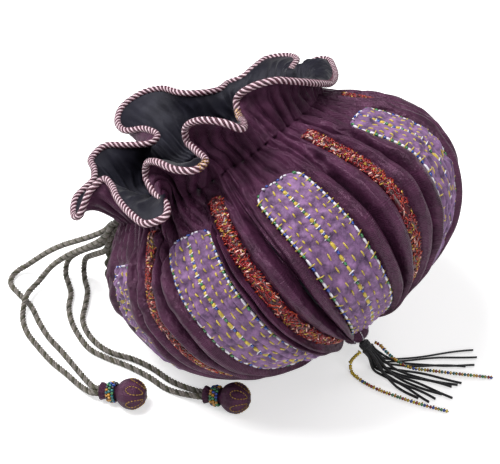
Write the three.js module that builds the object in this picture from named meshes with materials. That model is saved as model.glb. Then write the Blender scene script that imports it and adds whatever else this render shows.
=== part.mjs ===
// Potli bag: a pumpkin-shaped drawstring pouch of silk with velvet panels, lying tilted on its side.
// Millimetres, +Z up. The origin is on the floor, at the middle of the flat patch the bag rests on.
import * as THREE from 'three';
import { mergeVertices } from 'three/addons/utils/BufferGeometryUtils.js';

const DEG = Math.PI / 180;

// How the bag lies: its axis runs from the base up and back to the mouth.
const LEAN = 46;
const EQUATOR_CENTRE = new THREE.Vector3(27, 0, 85);

// How far the soft bag has slumped sideways, below and at the neck, and where along the axis it turns.
const SLUMP_BODY = 3;
const SLUMP_NECK = 8;
const SLUMP_AROUND = -126.4;
const SLUMP_FROM = -15;
const SLUMP_TO = 45;

// Body of the pouch, measured along its axis from the equator centre.
const EQUATOR_RADIUS = 104;
const EQUATOR_HEIGHT = -6;
const BASE_HEIGHT = -74;
const NECK_HEIGHT = 51;
const NECK_RADIUS = 67;
const BASE_BLUNTNESS = 2.25;

// Layers of cloth, from the outside in, and the air between layers that only touch.
const GAP = 0.3;
const SILK = 1.0;
const LINING = 0.8;
const VELVET = 1.2;
const TRIM_HEIGHT = 3.2;
const TRIM_UNDER_BAG = 1.8;

// Velvet panels and beaded trims, strips that run from the neck to the base.
const PANEL_HALF_WIDTH = 17;
const TRIM_HALF_WIDTH = 4.4;
const PANEL_NECK_TAPER = 0.76;
const PANEL_BASE_TAPER = 0.6;
const TRIM_CROWN = 0.55;
const SEAM_ROOM = 0.5;

// The strips crowd together at the base, where their angles are those of this share of the radius.
const CROWDED = 0.45;

// Between two strips the silk lies in two soft folds with a valley, shallow near the neck and the base.
const FOLDS = [3.2, -4, 2.6];
const FOLD_NECK_SHARE = 0.1;
const FOLD_NECK_FROM = 0.4;
const FOLD_BASE_UNTIL = -0.7;

// Angle of each strip around the axis, at the equator and at the neck; 0 is the upper side.
// At the base they are evenly spaced, from this angle on.
const PANEL_BASE_START = -115;
const TRIM_BASE_START = -92.5;
const PANEL_ANGLES = [
  [-117, -104], [-69, -63], [-29, -27], [23, 19], [67, 64], [111, 112], [155, 158], [199, 204],
];
const TRIM_ANGLES = [
  [-93, -81], [-53, -49], [-3, -2], [45, 41], [89, 88], [133, 135], [177, 181], [221, 229],
];

// Rows down a strip: -1 is the base, 0 the equator and 1 the neck.
const ROWS = [-1, -0.84, -0.7, -0.52, -0.34, -0.15, 0.08, 0.3, 0.5, 0.68, 0.84, 1];
const PANEL_FIRST_ROW = 1;
const PANEL_LAST_ROW = 9;
const TRIM_FIRST_ROW = 2;
const TRIM_LAST_ROW = 10;

// The floor lifts each layer by what lies under it, so the flat patch has the same order of layers.
const FLOOR_UNDER = { air: 0, panel: VELVET + GAP, trim: TRIM_UNDER_BAG + GAP };

// The lining hangs inside the silk's folds, and closer to it at the neck, where it is sewn.
const LINING_COLUMNS = 32;
const LINING_ROWS = [-1, -0.78, -0.52, -0.25, 0.05, 0.4, 0.68, 0.84, 1];
const LINING_SAG = 6.2;
const LINING_NECK_SAG = 2.4;
const LINING_FLOOR_SAG = 0.7;
const LINING_FLOOR = FLOOR_UNDER.trim + SILK + GAP + LINING_FLOOR_SAG;

// Drawcords: two twisted cords that run round the neck between silk and lining.
const CORD_RADIUS = 1.85;
const CORD_SIDES = 8;
const CORD_STEP = 12.5;
const CASING_DEPTH = SILK + GAP + 2 * CORD_RADIUS + GAP;
const CASING_FROM = 0.5;
const CASING_TO = 0.68;
const NECK_CORD_HEIGHTS = [-2.4, -7.4];
const NECK_CORD_STEPS = 28;
const NECK_CORD_SAG = 1.5;

// Stopper ball at the end of each drawcord, with a gathered tail and a collar of seed beads.
const STOPPER_RADIUS = 9.2;
const STOPPER_TAIL = 19;
const STOPPER_TAIL_RADIUS = 5.5;
const STOPPER_TAIL_LENGTH = 5.6;
const STOPPER_HEM = 0.4;
const STOPPER_NECK_RADIUS = 3.8;
const STOPPER_NECK_LENGTH = 3.4;
const STOPPER_ARC = 150;
const STOPPER_ARCS = 7;
const STOPPER_SIDES = 14;
const COLLAR_RADIUS = 1.7;
const STOPPER_DIP = 8.8;
const STRAIGHT_INTO_STOPPER = 5;
const STOPPERS = [{ x: 0, y: -112, heading: 22.4 }, { x: 50, y: -77, heading: 21.3 }];

// Handle: a plait of twisted cords, sewn under the frill at both sides.
const HANDLE_RADIUS = 4;
const HANDLE_STEP = 14;

// Base tassel: a thread ring, a fabric ball, a knotted head, its strands and two bead strings.
const RING_RADIUS = 3.5;
const RING_THREAD = 0.9;
const BALL_RADIUS = 8.5;
const BALL_HALF_HEIGHT = 6;
const HEAD_RADIUS = 3;
const HEAD_LENGTH = 6.6;
const HEAD_HEADING = 20;
const HEAD_PITCH = 50;
const HEAD_FLARE = 1.1;
const STRAND_RADIUS = 0.65;
const STRAND_STEP = 16;
const STRAND_SPACING = 1.75;
const STRAND_KNEE = 4;
const STRAND_LANDING = 15;
const STRAND_LANDING_STEP = 5;
const STRAND_LANDING_HEIGHT = 2.6;
const STRAND_REST = STRAND_RADIUS + 0.35;
const BEAD_STRING_RADIUS = 1.1;

// Frill above the neck, a strip of silk and lining whose rim is bound with twisted piping.
const PIPING_RADIUS = 2.2;
const PIPING_SEAM = 2.4;
const FRILL_LOOSENESS = 1.2;
const FRILL_COLUMNS = 88;
const FRILL_SPREAD = 7;
const FRILL_ROWS = 3;
const FRILL_FOOT = 1.4;
const FRILL_RISE = 17;
const FRILL_TAPER_IN = 0.35;

// Points on the rim, in order round the mouth: angle, reach beyond the neck's radius, and lift above it.
const RIM_POINTS = [
  [33, 11, 3], [19, 12.8, 9.1], [7, 14.4, 17.6], [-3, 13.3, 26.4], [-11, 4.7, 29.8], [-15, -4.1, 27.8],
  [-19, -2.6, 20.7], [-23, 12.5, 17], [-27, 25.1, 16.8], [-31, 25.1, 25.1], [-37, 17.4, 32.1],
  [-44, 4.2, 31.1], [-47, 0.9, 24.4], [-45, 8.1, 18.8], [-43, 22.7, 12.4], [-47, 30.7, 12.8],
  [-52, 28.9, 18.1], [-59, 17.4, 25.8], [-68, 5.4, 25.7], [-73, 3.6, 19.6], [-70, 10.9, 12.4],
  [-63, 23.8, 3.7], [-63, 32.5, -0.1], [-69, 35, 1.8], [-75, 28.2, 8.8], [-84, 16.6, 18.3],
  [-95, 5, 25.3], [-102, 2.8, 29.1], [-105, 11.7, 27.9], [-110, 23, 19.4], [-116, 24.3, 20.2],
  [-123, 17.4, 26.6], [-131, 3.7, 29], [-140, 2.2, 32.9], [-151, 5.5, 37.8], [-161, 0.2, 39],
  [-164, -11.2, 32.8], [-170, -24, 26], [-181, -23, 26.9], [-185, -9.9, 33.4], [-183, 6.9, 38.4],
  [-187, 17.8, 44.5], [-194, 23.6, 49.6], [-204, 23.2, 49.7], [-211, 16, 45.9], [-217, 1.6, 38],
  [-224, -1.4, 32.7], [-234, 3.8, 26.7], [-238, 11.3, 26.4], [-245, 11.1, 24.8], [-250, 19.4, 25.5],
  [-253, 29.1, 25.3], [-261, 30.5, 20.3], [-268, 24, 16.5], [-273, 9.1, 14.3], [-279, 9.3, 12.5],
  [-282, 20.2, 11.6], [-287, 22.6, 8.8], [-299, 16.7, 4.1], [-312, 12.5, 1.8],
];

const COLOURS = {
  silk: 0x4b2d41,
  lining: 0x2c2c34,
  velvet: 0x7a5480,
  trim: 0x8c1f22,
  piping: 0xc9a3b0,
  cord: 0x57564f,
  beads: 0x2f5a66,
  gold: 0xc8a24a,
  black: 0x17171a,
};

// The bag's own directions: up its axis, across to its upper side, and to its side.
const AXIS = new THREE.Vector3(-Math.cos(LEAN * DEG), 0, Math.sin(LEAN * DEG));
const TOPSIDE = new THREE.Vector3(Math.sin(LEAN * DEG), 0, Math.cos(LEAN * DEG));
const SIDE = new THREE.Vector3(0, 1, 0);
const OUT_OF_BASE = AXIS.clone().negate();

const bag = new THREE.Group();
bag.name = 'potli_bag';

function finish(colour, roughness, metalness = 0) {
  return new THREE.MeshStandardMaterial({ color: colour, roughness, metalness });
}

function add(name, geometry, material) {
  const mesh = new THREE.Mesh(geometry, material);
  mesh.name = name;
  bag.add(mesh);
  return mesh;
}

function around(angle) {
  const out = TOPSIDE.clone().multiplyScalar(Math.cos(angle));
  return out.addScaledVector(SIDE, Math.sin(angle));
}

function smooth(from, to, value) {
  return THREE.MathUtils.smoothstep(value, from, to);
}

// Height and radius of the body at a place along the strip.
function profile(t) {
  if (t > 0) {
    const height = EQUATOR_HEIGHT + t * (NECK_HEIGHT - EQUATOR_HEIGHT);
    return { height, radius: NECK_RADIUS + (EQUATOR_RADIUS - NECK_RADIUS) * (1 - t * t) };
  }
  const turn = (t + 1) * Math.PI / 2;
  const power = 2 / BASE_BLUNTNESS;
  const depth = EQUATOR_HEIGHT - BASE_HEIGHT;
  return {
    height: EQUATOR_HEIGHT - depth * Math.max(Math.cos(turn), 0) ** power,
    radius: EQUATOR_RADIUS * Math.sin(turn) ** power,
  };
}

// A point on the body, pushed out by a height of cloth and stopped above the floor.
function bodyPoint(t, angle, push, floor) {
  const here = profile(t);
  const step = 0.01;
  const before = profile(Math.max(t - step, -1));
  const after = profile(Math.min(t + step, 1));
  const run = Math.hypot(after.height - before.height, after.radius - before.radius);
  const outward = (after.height - before.height) / run;
  const along = -(after.radius - before.radius) / run;
  const radius = Math.max(here.radius + push * outward, 0);
  const height = here.height + push * along;
  const point = axisPoint(height).addScaledVector(around(angle), radius);
  point.z = Math.max(point.z, floor);
  return point;
}

// The axis bends a little sideways towards the neck, as the soft bag has slumped.
function axisPoint(height) {
  const slump = SLUMP_BODY + SLUMP_NECK * smooth(SLUMP_FROM, SLUMP_TO, height);
  const point = EQUATOR_CENTRE.clone().addScaledVector(AXIS, height);
  return point.addScaledVector(around(SLUMP_AROUND * DEG), slump);
}

// Skin over a row of closed sections; the two ends are capped, or joined into a loop.
function skin(sections, joined = false) {
  const count = sections[0].length;
  const points = sections.flat();
  const index = [];
  const last = joined ? sections.length : sections.length - 1;
  for (let row = 0; row < last; row += 1) {
    const next = (row + 1) % sections.length;
    for (let column = 0; column < count; column += 1) {
      const right = (column + 1) % count;
      const a = row * count + column;
      const b = row * count + right;
      const c = next * count + right;
      const d = next * count + column;
      // A fold stands out from the bag's middle, so layers that lie on each other fold alike.
      const one = points[a].clone().add(points[c]).divideScalar(2);
      const other = points[b].clone().add(points[d]).divideScalar(2);
      const folded = other.distanceTo(EQUATOR_CENTRE) > one.distanceTo(EQUATOR_CENTRE);
      index.push(...(folded ? [a, b, d, b, c, d] : [a, b, c, a, c, d]));
    }
  }
  if (!joined) {
    capEnd(points, index, 0, count, false);
    capEnd(points, index, (sections.length - 1) * count, count, true);
  }
  return solidFrom(points, index);
}

function capEnd(points, index, first, count, flipped) {
  const middle = new THREE.Vector3();
  for (let i = 0; i < count; i += 1) {
    middle.addScaledVector(points[first + i], 1 / count);
  }
  const centre = points.push(middle) - 1;
  for (let i = 0; i < count; i += 1) {
    const a = first + i;
    const b = first + (i + 1) % count;
    index.push(...(flipped ? [centre, a, b] : [centre, b, a]));
  }
}

// Closed mesh with its faces turned outwards.
function solidFrom(points, index) {
  if (signedVolume(points, index) < 0) {
    index.reverse();
  }
  const geometry = new THREE.BufferGeometry().setFromPoints(points);
  geometry.setIndex(index);
  return mergeVertices(geometry, 1e-4);
}

function signedVolume(points, index) {
  let volume = 0;
  for (let i = 0; i < index.length; i += 3) {
    const [a, b, c] = [points[index[i]], points[index[i + 1]], points[index[i + 2]]];
    volume += a.dot(b.clone().cross(c)) / 6;
  }
  return volume;
}

// A strip's middle angle at one row, in radians.
function stripMiddle(kind, number, t) {
  const [equator, neck] = (kind === 'panel' ? PANEL_ANGLES : TRIM_ANGLES)[number];
  const start = kind === 'panel' ? PANEL_BASE_START : TRIM_BASE_START;
  const base = start + number * 360 / PANEL_ANGLES.length;
  const end = t > 0 ? neck : base;
  return (equator + (end - equator) * smooth(0, 1, Math.abs(t))) * DEG;
}

// The middle angle and half width of a strip; a panel gives way where the trims beside it crowd it.
function strip(kind, number, t) {
  const middle = stripMiddle(kind, number, t);
  const radius = Math.max(profile(t).radius, EQUATOR_RADIUS * CROWDED);
  const trimHalf = TRIM_HALF_WIDTH / radius;
  if (kind === 'trim') {
    return { middle, half: trimHalf };
  }
  const endWidth = t > 0 ? PANEL_NECK_TAPER : PANEL_BASE_TAPER;
  const half = PANEL_HALF_WIDTH * (1 + (endWidth - 1) * t * t) / radius;
  const turn = 2 * Math.PI;
  const after = stripMiddle('trim', number, t);
  const before = stripMiddle('trim', (number + TRIM_ANGLES.length - 1) % TRIM_ANGLES.length, t);
  const toBefore = ((middle - before) % turn + turn) % turn;
  const space = Math.min(after - middle, toBefore) - trimHalf - SEAM_ROOM / radius;
  return { middle, half: Math.min(half, space) };
}

// How much of the folds there is along the strips.
function foldShare(t) {
  const atNeck = 1 - smooth(FOLD_NECK_FROM, 1, t) * (1 - FOLD_NECK_SHARE);
  return atNeck * smooth(-1, FOLD_BASE_UNTIL, t);
}

// Columns of the silk round the bag: each strip's edges and middle, and the folds in each space.
function silkColumns(t) {
  const columns = [];
  for (let number = 0; number < PANEL_ANGLES.length; number += 1) {
    const panel = strip('panel', number, t);
    const trim = strip('trim', number, t);
    const next = strip('panel', (number + 1) % PANEL_ANGLES.length, t);
    const nextMiddle = next.middle < trim.middle ? next.middle + 2 * Math.PI : next.middle;
    columns.push({ angle: panel.middle - panel.half, push: 0, under: 'panel' });
    columns.push({ angle: panel.middle, push: 0, under: 'panel' });
    columns.push({ angle: panel.middle + panel.half, push: 0, under: 'panel' });
    addFolds(columns, panel.middle + panel.half, trim.middle - trim.half, t);
    columns.push({ angle: trim.middle - trim.half, push: 0, under: 'trim' });
    columns.push({ angle: trim.middle + trim.half, push: 0, under: 'trim' });
    addFolds(columns, trim.middle + trim.half, nextMiddle - next.half, t);
  }
  return columns;
}

function addFolds(columns, from, to, t) {
  FOLDS.forEach((height, i) => {
    const angle = from + (to - from) * (i + 1) / (FOLDS.length + 1);
    columns.push({ angle, push: height * foldShare(t), under: 'air' });
  });
}

function bodySilk() {
  const outer = [];
  const inner = [];
  for (const t of ROWS) {
    const columns = silkColumns(t);
    outer.push(columns.map((c) => bodyPoint(t, c.angle, c.push, FLOOR_UNDER[c.under])));
    inner.push(columns.map((c) => bodyPoint(t, c.angle, c.push - SILK, FLOOR_UNDER[c.under] + SILK)));
  }
  // At the base both surfaces close on the axis.
  return skin([...outer, ...inner.reverse()]);
}

// How far the lining lies inside the silk: close to it, and past the cords at the neck.
function liningPush(t) {
  const roomForCords = smooth(CASING_FROM, CASING_TO, t);
  const close = SILK + GAP;
  return -(close + (CASING_DEPTH - close) * roomForCords);
}

function bodyLining() {
  const outer = [];
  const inner = [];
  const angles = Array.from({ length: LINING_COLUMNS }, (_, i) => i * 2 * Math.PI / LINING_COLUMNS);
  for (const t of LINING_ROWS) {
    const push = liningPush(t) - LINING_SAG + (LINING_SAG - LINING_NECK_SAG) * smooth(FOLD_NECK_FROM, 1, t);
    outer.push(angles.map((a) => bodyPoint(t, a, push, LINING_FLOOR)));
    inner.push(angles.map((a) => bodyPoint(t, a, push - LINING, LINING_FLOOR + LINING)));
  }
  return skin([...outer, ...inner.reverse()]);
}

function velvetPanel(number) {
  const sections = [];
  for (let row = PANEL_FIRST_ROW; row <= PANEL_LAST_ROW; row += 1) {
    const t = ROWS[row];
    const { middle, half } = strip('panel', number, t);
    const edge = half - SEAM_ROOM / profile(t).radius;
    const angles = [middle - edge, middle, middle + edge];
    const face = angles.map((a) => bodyPoint(t, a, GAP + VELVET, 0));
    const back = angles.map((a) => bodyPoint(t, a, GAP, VELVET));
    sections.push([...face, ...back.reverse()]);
  }
  return skin(sections);
}

function beadedTrim(number) {
  const sections = [];
  for (let row = TRIM_FIRST_ROW; row <= TRIM_LAST_ROW; row += 1) {
    const t = ROWS[row];
    const { middle, half } = strip('trim', number, t);
    const edge = half - SEAM_ROOM / profile(t).radius;
    const crown = edge * TRIM_CROWN;
    sections.push([
      bodyPoint(t, middle - edge, GAP, TRIM_UNDER_BAG),
      bodyPoint(t, middle - crown, GAP + TRIM_HEIGHT, 0),
      bodyPoint(t, middle + crown, GAP + TRIM_HEIGHT, 0),
      bodyPoint(t, middle + edge, GAP, TRIM_UNDER_BAG),
    ]);
  }
  return skin(sections);
}

const NECK_CENTRE = axisPoint(NECK_HEIGHT);

// A point given by its angle, its reach from the axis and its lift above the neck.
function neckPoint(angle, reach, lift) {
  const point = NECK_CENTRE.clone().addScaledVector(AXIS, lift);
  return point.addScaledVector(around(angle), reach);
}

// The rim as a curve through its points, with the angle at the neck that each place is sewn to.
const rimCurve = new THREE.CatmullRomCurve3(
  RIM_POINTS.map(([angle, beyond, lift]) => neckPoint(angle * DEG, NECK_RADIUS + beyond, lift)),
  true,
  'centripetal',
);
const rimLength = rimCurve.getLength();
const rimPlaces = rimCurve.getSpacedPoints(4 * FRILL_COLUMNS);

function rimAngle(point) {
  const arm = point.clone().sub(NECK_CENTRE);
  return Math.atan2(arm.dot(SIDE), arm.dot(TOPSIDE));
}

// The cloth is shared out evenly at the neck, so the sewn angle is the rim's own angle, averaged.
function sewnAngles(count) {
  const raw = [];
  for (let i = 0; i < count; i += 1) {
    let angle = rimAngle(rimCurve.getPointAt(i / count));
    if (i > 0) {
      while (angle - raw[i - 1] > Math.PI) angle -= 2 * Math.PI;
      while (angle - raw[i - 1] < -Math.PI) angle += 2 * Math.PI;
    }
    raw.push(angle);
  }
  return raw.map((_, i) => {
    let sum = 0;
    for (let k = -FRILL_SPREAD; k <= FRILL_SPREAD; k += 1) {
      const wrapped = (i + k + count) % count;
      const turns = Math.floor((i + k) / count);
      sum += raw[wrapped] - turns * 2 * Math.PI;
    }
    return sum / (2 * FRILL_SPREAD + 1);
  });
}

// One column of the frill, a smooth curve from the neck up and over to the rim.
function frillColumn(i, angle) {
  const rim = rimCurve.getPointAt(i / FRILL_COLUMNS);
  const foot = neckPoint(angle, NECK_RADIUS, FRILL_FOOT);
  const shoulder = foot.clone().lerp(rim, FRILL_TAPER_IN).addScaledVector(AXIS, FRILL_RISE);
  const curve = new THREE.QuadraticBezierCurve3(foot, shoulder, rim);
  // The cloth stops at the seam of the piping, wherever the rim passes close by.
  const room = PIPING_RADIUS + PIPING_SEAM;
  const atPiping = (share) => rimPlaces.some((place) => place.distanceTo(curve.getPointAt(share)) < room);
  let end = 1;
  while (atPiping(end)) {
    end -= 0.01;
  }
  const points = [];
  for (let row = 0; row <= FRILL_ROWS; row += 1) {
    points.push(curve.getPointAt(end * row / FRILL_ROWS));
  }
  return points;
}

// The frill's middle surface, with the direction that points from the silk to the lining.
function frillSurface() {
  const angles = sewnAngles(FRILL_COLUMNS);
  const columns = angles.map((angle, i) => frillColumn(i, angle));
  const inward = columns.map((column, i) => column.map((point, row) => {
    const left = columns[(i + 1) % FRILL_COLUMNS][row];
    const right = columns[(i + FRILL_COLUMNS - 1) % FRILL_COLUMNS][row];
    const above = column[Math.min(row + 1, FRILL_ROWS)];
    const below = column[Math.max(row - 1, 0)];
    const acrossIt = left.clone().sub(right);
    const upIt = above.clone().sub(below);
    return acrossIt.cross(upIt).normalize();
  }));
  return { columns, inward };
}

// A layer of the frill between two distances from its middle surface, at the neck and at the rim.
function frillLayer(surface, near, far) {
  const layer = (offset) => {
    const rows = [];
    for (let row = 0; row <= FRILL_ROWS; row += 1) {
      rows.push(surface.columns.map((column, i) => {
        const point = column[row].clone();
        return point.addScaledVector(surface.inward[i][row], offset(row));
      }));
    }
    return rows;
  };
  return skin([...layer(near), ...layer(far).reverse()], true);
}

// A round cord along a curve, with flat ends.
function tube(curve, radius, steps, sides = CORD_SIDES) {
  const section = new THREE.Shape();
  for (let i = 0; i < sides; i += 1) {
    const angle = i * 2 * Math.PI / sides;
    const [x, y] = [radius * Math.cos(angle), radius * Math.sin(angle)];
    if (i === 0) section.moveTo(x, y);
    else section.lineTo(x, y);
  }
  section.closePath();
  const geometry = new THREE.ExtrudeGeometry(section, { steps, bevelEnabled: false, extrudePath: curve });
  return closed(geometry);
}

// One of the library's own shapes, with its shared corners merged.
function closed(geometry) {
  geometry.deleteAttribute('normal');
  geometry.deleteAttribute('uv');
  const merged = mergeVertices(geometry, 1e-4);
  const corners = merged.getAttribute('position');
  const points = [];
  for (let i = 0; i < corners.count; i += 1) {
    points.push(new THREE.Vector3().fromBufferAttribute(corners, i));
  }
  return solidFrom(points, Array.from(merged.index.array));
}

function cordCurve(points) {
  return new THREE.CatmullRomCurve3(points, false, 'centripetal');
}

function cordAlong(points, radius, step) {
  const curve = cordCurve(points);
  return tube(curve, radius, Math.max(Math.round(curve.getLength() / step), 4));
}

function vectors(list) {
  return list.map(([x, y, z]) => new THREE.Vector3(x, y, z));
}

// Closed ring of cord round the neck.
function neckCord(drop) {
  const t = 1 + drop / (NECK_HEIGHT - EQUATOR_HEIGHT);
  const sections = [];
  for (let i = 0; i < NECK_CORD_STEPS; i += 1) {
    const angle = i * 2 * Math.PI / NECK_CORD_STEPS;
    const middle = bodyPoint(t, angle, -(SILK + GAP + CORD_RADIUS + NECK_CORD_SAG), 0);
    const section = [];
    for (let k = 0; k < CORD_SIDES; k += 1) {
      const turn = k * 2 * Math.PI / CORD_SIDES;
      const point = middle.clone().addScaledVector(around(angle), CORD_RADIUS * Math.cos(turn));
      section.push(point.addScaledVector(AXIS, CORD_RADIUS * Math.sin(turn)));
    }
    sections.push(section);
  }
  return skin(sections, true);
}

// Stopper ball, turned on its own axis from the open tail to the crown.
function stopperShape() {
  const tail = -STOPPER_TAIL;
  const outline = [
    [0, tail],
    [STOPPER_TAIL_RADIUS, tail],
    [STOPPER_TAIL_RADIUS - STOPPER_HEM, tail + STOPPER_TAIL_LENGTH / 2],
    [STOPPER_NECK_RADIUS, tail + STOPPER_TAIL_LENGTH],
    [STOPPER_NECK_RADIUS, tail + STOPPER_TAIL_LENGTH + STOPPER_NECK_LENGTH],
  ];
  for (let i = 0; i < STOPPER_ARCS; i += 1) {
    const turn = (1 - i / STOPPER_ARCS) * STOPPER_ARC * DEG;
    outline.push([STOPPER_RADIUS * Math.sin(turn), STOPPER_RADIUS * Math.cos(turn)]);
  }
  outline.push([0, STOPPER_RADIUS]);
  return lathe(outline, STOPPER_SIDES);
}

function placeStopper(mesh, stopper) {
  const pitch = STOPPER_DIP * DEG;
  const heading = stopper.heading * DEG;
  const direction = new THREE.Vector3(
    Math.cos(pitch) * Math.cos(heading),
    Math.cos(pitch) * Math.sin(heading),
    Math.sin(pitch),
  );
  mesh.quaternion.setFromUnitVectors(new THREE.Vector3(0, 1, 0), direction);
  mesh.position.set(stopper.x, stopper.y, STOPPER_RADIUS);
  mesh.updateMatrixWorld(true);
  return mesh;
}

// The end of a cord at a stopper's tail, beside its twin, and a place a few millimetres before it.
function cordEnds(stopper, side) {
  const mesh = placeStopper(new THREE.Object3D(), stopper);
  const across = new THREE.Vector3(Math.sin(stopper.heading * DEG), -Math.cos(stopper.heading * DEG), 0);
  return [STOPPER_TAIL + STRAIGHT_INTO_STOPPER, STOPPER_TAIL + GAP].map((back) => {
    const point = mesh.localToWorld(new THREE.Vector3(0, -back, 0));
    return point.addScaledVector(across, side * (CORD_RADIUS + GAP));
  });
}

// Free runs of the drawcords, from the casing to the floor and on to the stopper balls.
const RUNS = {
  drawcord_1a: {
    stopper: 0,
    side: -1,
    points: [
      [-47.2, -61, 83.4], [-52.8, -62.8, 79.7], [-59.4, -62.8, 70.7], [-70.5, -62.6, 59.8],
      [-83.5, -63.3, 49], [-96.5, -63.9, 38.2], [-108.4, -64.5, 26.7], [-119.3, -65.5, 14.7],
      [-126.4, -67.4, 6.8], [-129.9, -71.9, 3.6], [-129.8, -77.8, 2.3], [-125.7, -82.9, 2.1],
      [-115.3, -86.2, 2.1], [-102.5, -89.4, 2.1], [-88.8, -96.7, 2.1], [-75.5, -102.6, 2.1],
      [-60.4, -106.8, 2.1], [-43.7, -112.1, 2.1], [-30.8, -116.3, 2.9],
    ],
  },
  drawcord_1b: {
    stopper: 0,
    side: 1,
    points: [
      [-42, -67.2, 90], [-46.9, -69.2, 86.1], [-51.3, -69.4, 77.1], [-59.3, -69.1, 66.3],
      [-70.1, -68.2, 54.9], [-81.6, -67.3, 43.9], [-92.6, -67.4, 32.5], [-102.1, -68.4, 21.1],
      [-107.8, -70.3, 12.1], [-109.9, -74.3, 7.1], [-109.9, -80.2, 5.8], [-107.5, -86.7, 7.1],
      [-103.9, -93.8, 5.5], [-97.9, -101.4, 2.6], [-88.7, -107.7, 2.1], [-74.9, -112.6, 2.1],
      [-59.9, -116.8, 2.1], [-45.4, -118.9, 2.1], [-32.9, -121.3, 2.6],
    ],
  },
  drawcord_2a: {
    stopper: 1,
    side: 1,
    points: [
      [-52.6, -56.1, 75.5], [-57.6, -57.6, 71], [-62, -57.3, 60.3], [-68.6, -56.8, 50.3],
      [-80, -56, 39.8], [-91.9, -55.2, 28.5], [-100.6, -54.5, 17.9], [-103.6, -54.8, 10.6],
      [-102.4, -57, 5.2], [-97.6, -60, 2.3], [-90.5, -65.5, 2.1], [-83.3, -75.4, 2.1],
      [-73.4, -83.9, 2.1], [-60.1, -91, 2.1], [-48, -94.8, 2.1], [-36.1, -94.1, 2.1],
      [-20.6, -91.3, 2.1], [-4.9, -90.4, 2.1], [10.3, -91.1, 2.1],
    ],
  },
  drawcord_2b: {
    stopper: 1,
    side: -1,
    points: [
      [-45.6, -65.3, 79], [-50.1, -66.4, 75.3], [-53.9, -65.8, 65.8], [-59.6, -63.7, 54.9],
      [-69.5, -59.8, 44], [-80.6, -54.6, 32.1], [-90.2, -49.9, 21.1], [-94.4, -47.9, 13],
      [-94.4, -48.8, 6.8], [-91, -51.8, 2.8], [-84.2, -57.1, 2.1], [-76.8, -67, 2.1],
      [-69.3, -78.2, 2.1], [-59.9, -84.8, 2.1], [-47.2, -88.8, 2.1], [-35.8, -88.9, 2.1],
      [-21.5, -84.9, 2.1], [-7.8, -83.8, 2.1], [8.2, -84.7, 2.1],
    ],
  },
};

const HANDLE_POINTS = [
  [-60.2, -44.4, 71.5], [-64.6, -48.7, 54.3], [-67.8, -51.1, 38.1], [-69.1, -51.9, 24.3],
  [-67.2, -52.9, 16.3], [-62.8, -52.6, 10.8], [-57.7, -49.8, 7.2], [-53.8, -44.6, 5.2],
  [-52.4, -37, 4.4], [-54.2, -20.9, 4.4], [-55.3, -2.2, 4.4], [-55.8, 17.4, 4.4], [-57.4, 33.7, 4.8],
  [-60, 42.6, 6.6], [-63.6, 48.2, 10.8], [-66.9, 51.3, 17.3], [-68.6, 51.9, 26.6], [-67.8, 50.1, 38.6],
  [-64.1, 45.4, 53.7], [-58, 39.6, 71],
];

// Tassel strands: the angle and length of each, the row of the head it leaves, and its place there.
const STRANDS = [
  { turn: 47, reach: 70, row: 0, place: 1.9 },
  { turn: 42, reach: 71, row: -1, place: 1.5 },
  { turn: 37.5, reach: 69, row: 1, place: 1.5 },
  { turn: 34, reach: 63, row: 0, place: 0.95 },
  { turn: 24, reach: 62, row: -1, place: 0.5 },
  { turn: 20.5, reach: 60, row: 1, place: 0.5 },
  { turn: 16.5, reach: 57, row: 0, place: 0 },
  { turn: 12, reach: 60, row: -1, place: -0.5 },
  { turn: 8, reach: 54, row: 1, place: -0.5 },
  { turn: 4, reach: 52, row: 0, place: -0.95 },
  { turn: 0, reach: 50, row: -1, place: -1.5 },
  { turn: -4, reach: 44, row: 1, place: -1.5 },
];

const BEAD_STRINGS = {
  bead_string_1: [
    [89, -5.4, 14.4], [86.5, -8, 10.5], [84.9, -9, 6.6], [85.6, -10.4, 3.3], [88.2, -12.2, 1.4],
    [93.3, -13.6, 1.2], [100.7, -14.2, 1.2], [108.7, -13.7, 1.2], [117, -12.2, 1.2], [125.7, -10.3, 1.2],
    [134.2, -8.1, 1.2], [142.6, -5.5, 1.2], [151, -2.6, 1.2],
  ],
  bead_string_2: [
    [92.7, 3.3, 18], [95.8, 4.6, 16.4], [99.8, 5.8, 12.2], [104.4, 7.6, 8], [109, 9.8, 4.2],
    [114.6, 12.8, 1.8], [122.4, 17.2, 1.4], [130.8, 21.8, 1.4], [139.6, 26.6, 1.4], [148.4, 31.6, 1.4],
    [157, 36.4, 1.4],
  ],
};

// The tassel hangs from the middle of the base.
const BASE = bodyPoint(-1, 0, 0, 0);

function belowBase(distance) {
  return BASE.clone().addScaledVector(OUT_OF_BASE, distance);
}

function turned(geometry, position, direction) {
  const mesh = new THREE.Object3D();
  mesh.quaternion.setFromUnitVectors(new THREE.Vector3(0, 1, 0), direction);
  mesh.position.copy(position);
  mesh.updateMatrix();
  return geometry.applyMatrix4(mesh.matrix);
}

function lathe(profilePoints, segments) {
  const points = profilePoints.map(([radius, height]) => new THREE.Vector2(radius, height));
  return closed(new THREE.LatheGeometry(points, segments));
}

const HEAD_DIRECTION = new THREE.Vector3(
  Math.cos(HEAD_PITCH * DEG) * Math.cos(HEAD_HEADING * DEG),
  Math.cos(HEAD_PITCH * DEG) * Math.sin(HEAD_HEADING * DEG),
  -Math.sin(HEAD_PITCH * DEG),
);
const ringHeight = GAP + RING_THREAD;
const ballReach = BALL_HALF_HEIGHT + RING_THREAD + GAP;
const ballSink = Math.sqrt(1 - (RING_RADIUS / (BALL_RADIUS + RING_THREAD)) ** 2);
const ballHeight = ringHeight + ballReach * ballSink + GAP;
const headStart = belowBase(ballHeight + BALL_HALF_HEIGHT + GAP);

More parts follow.
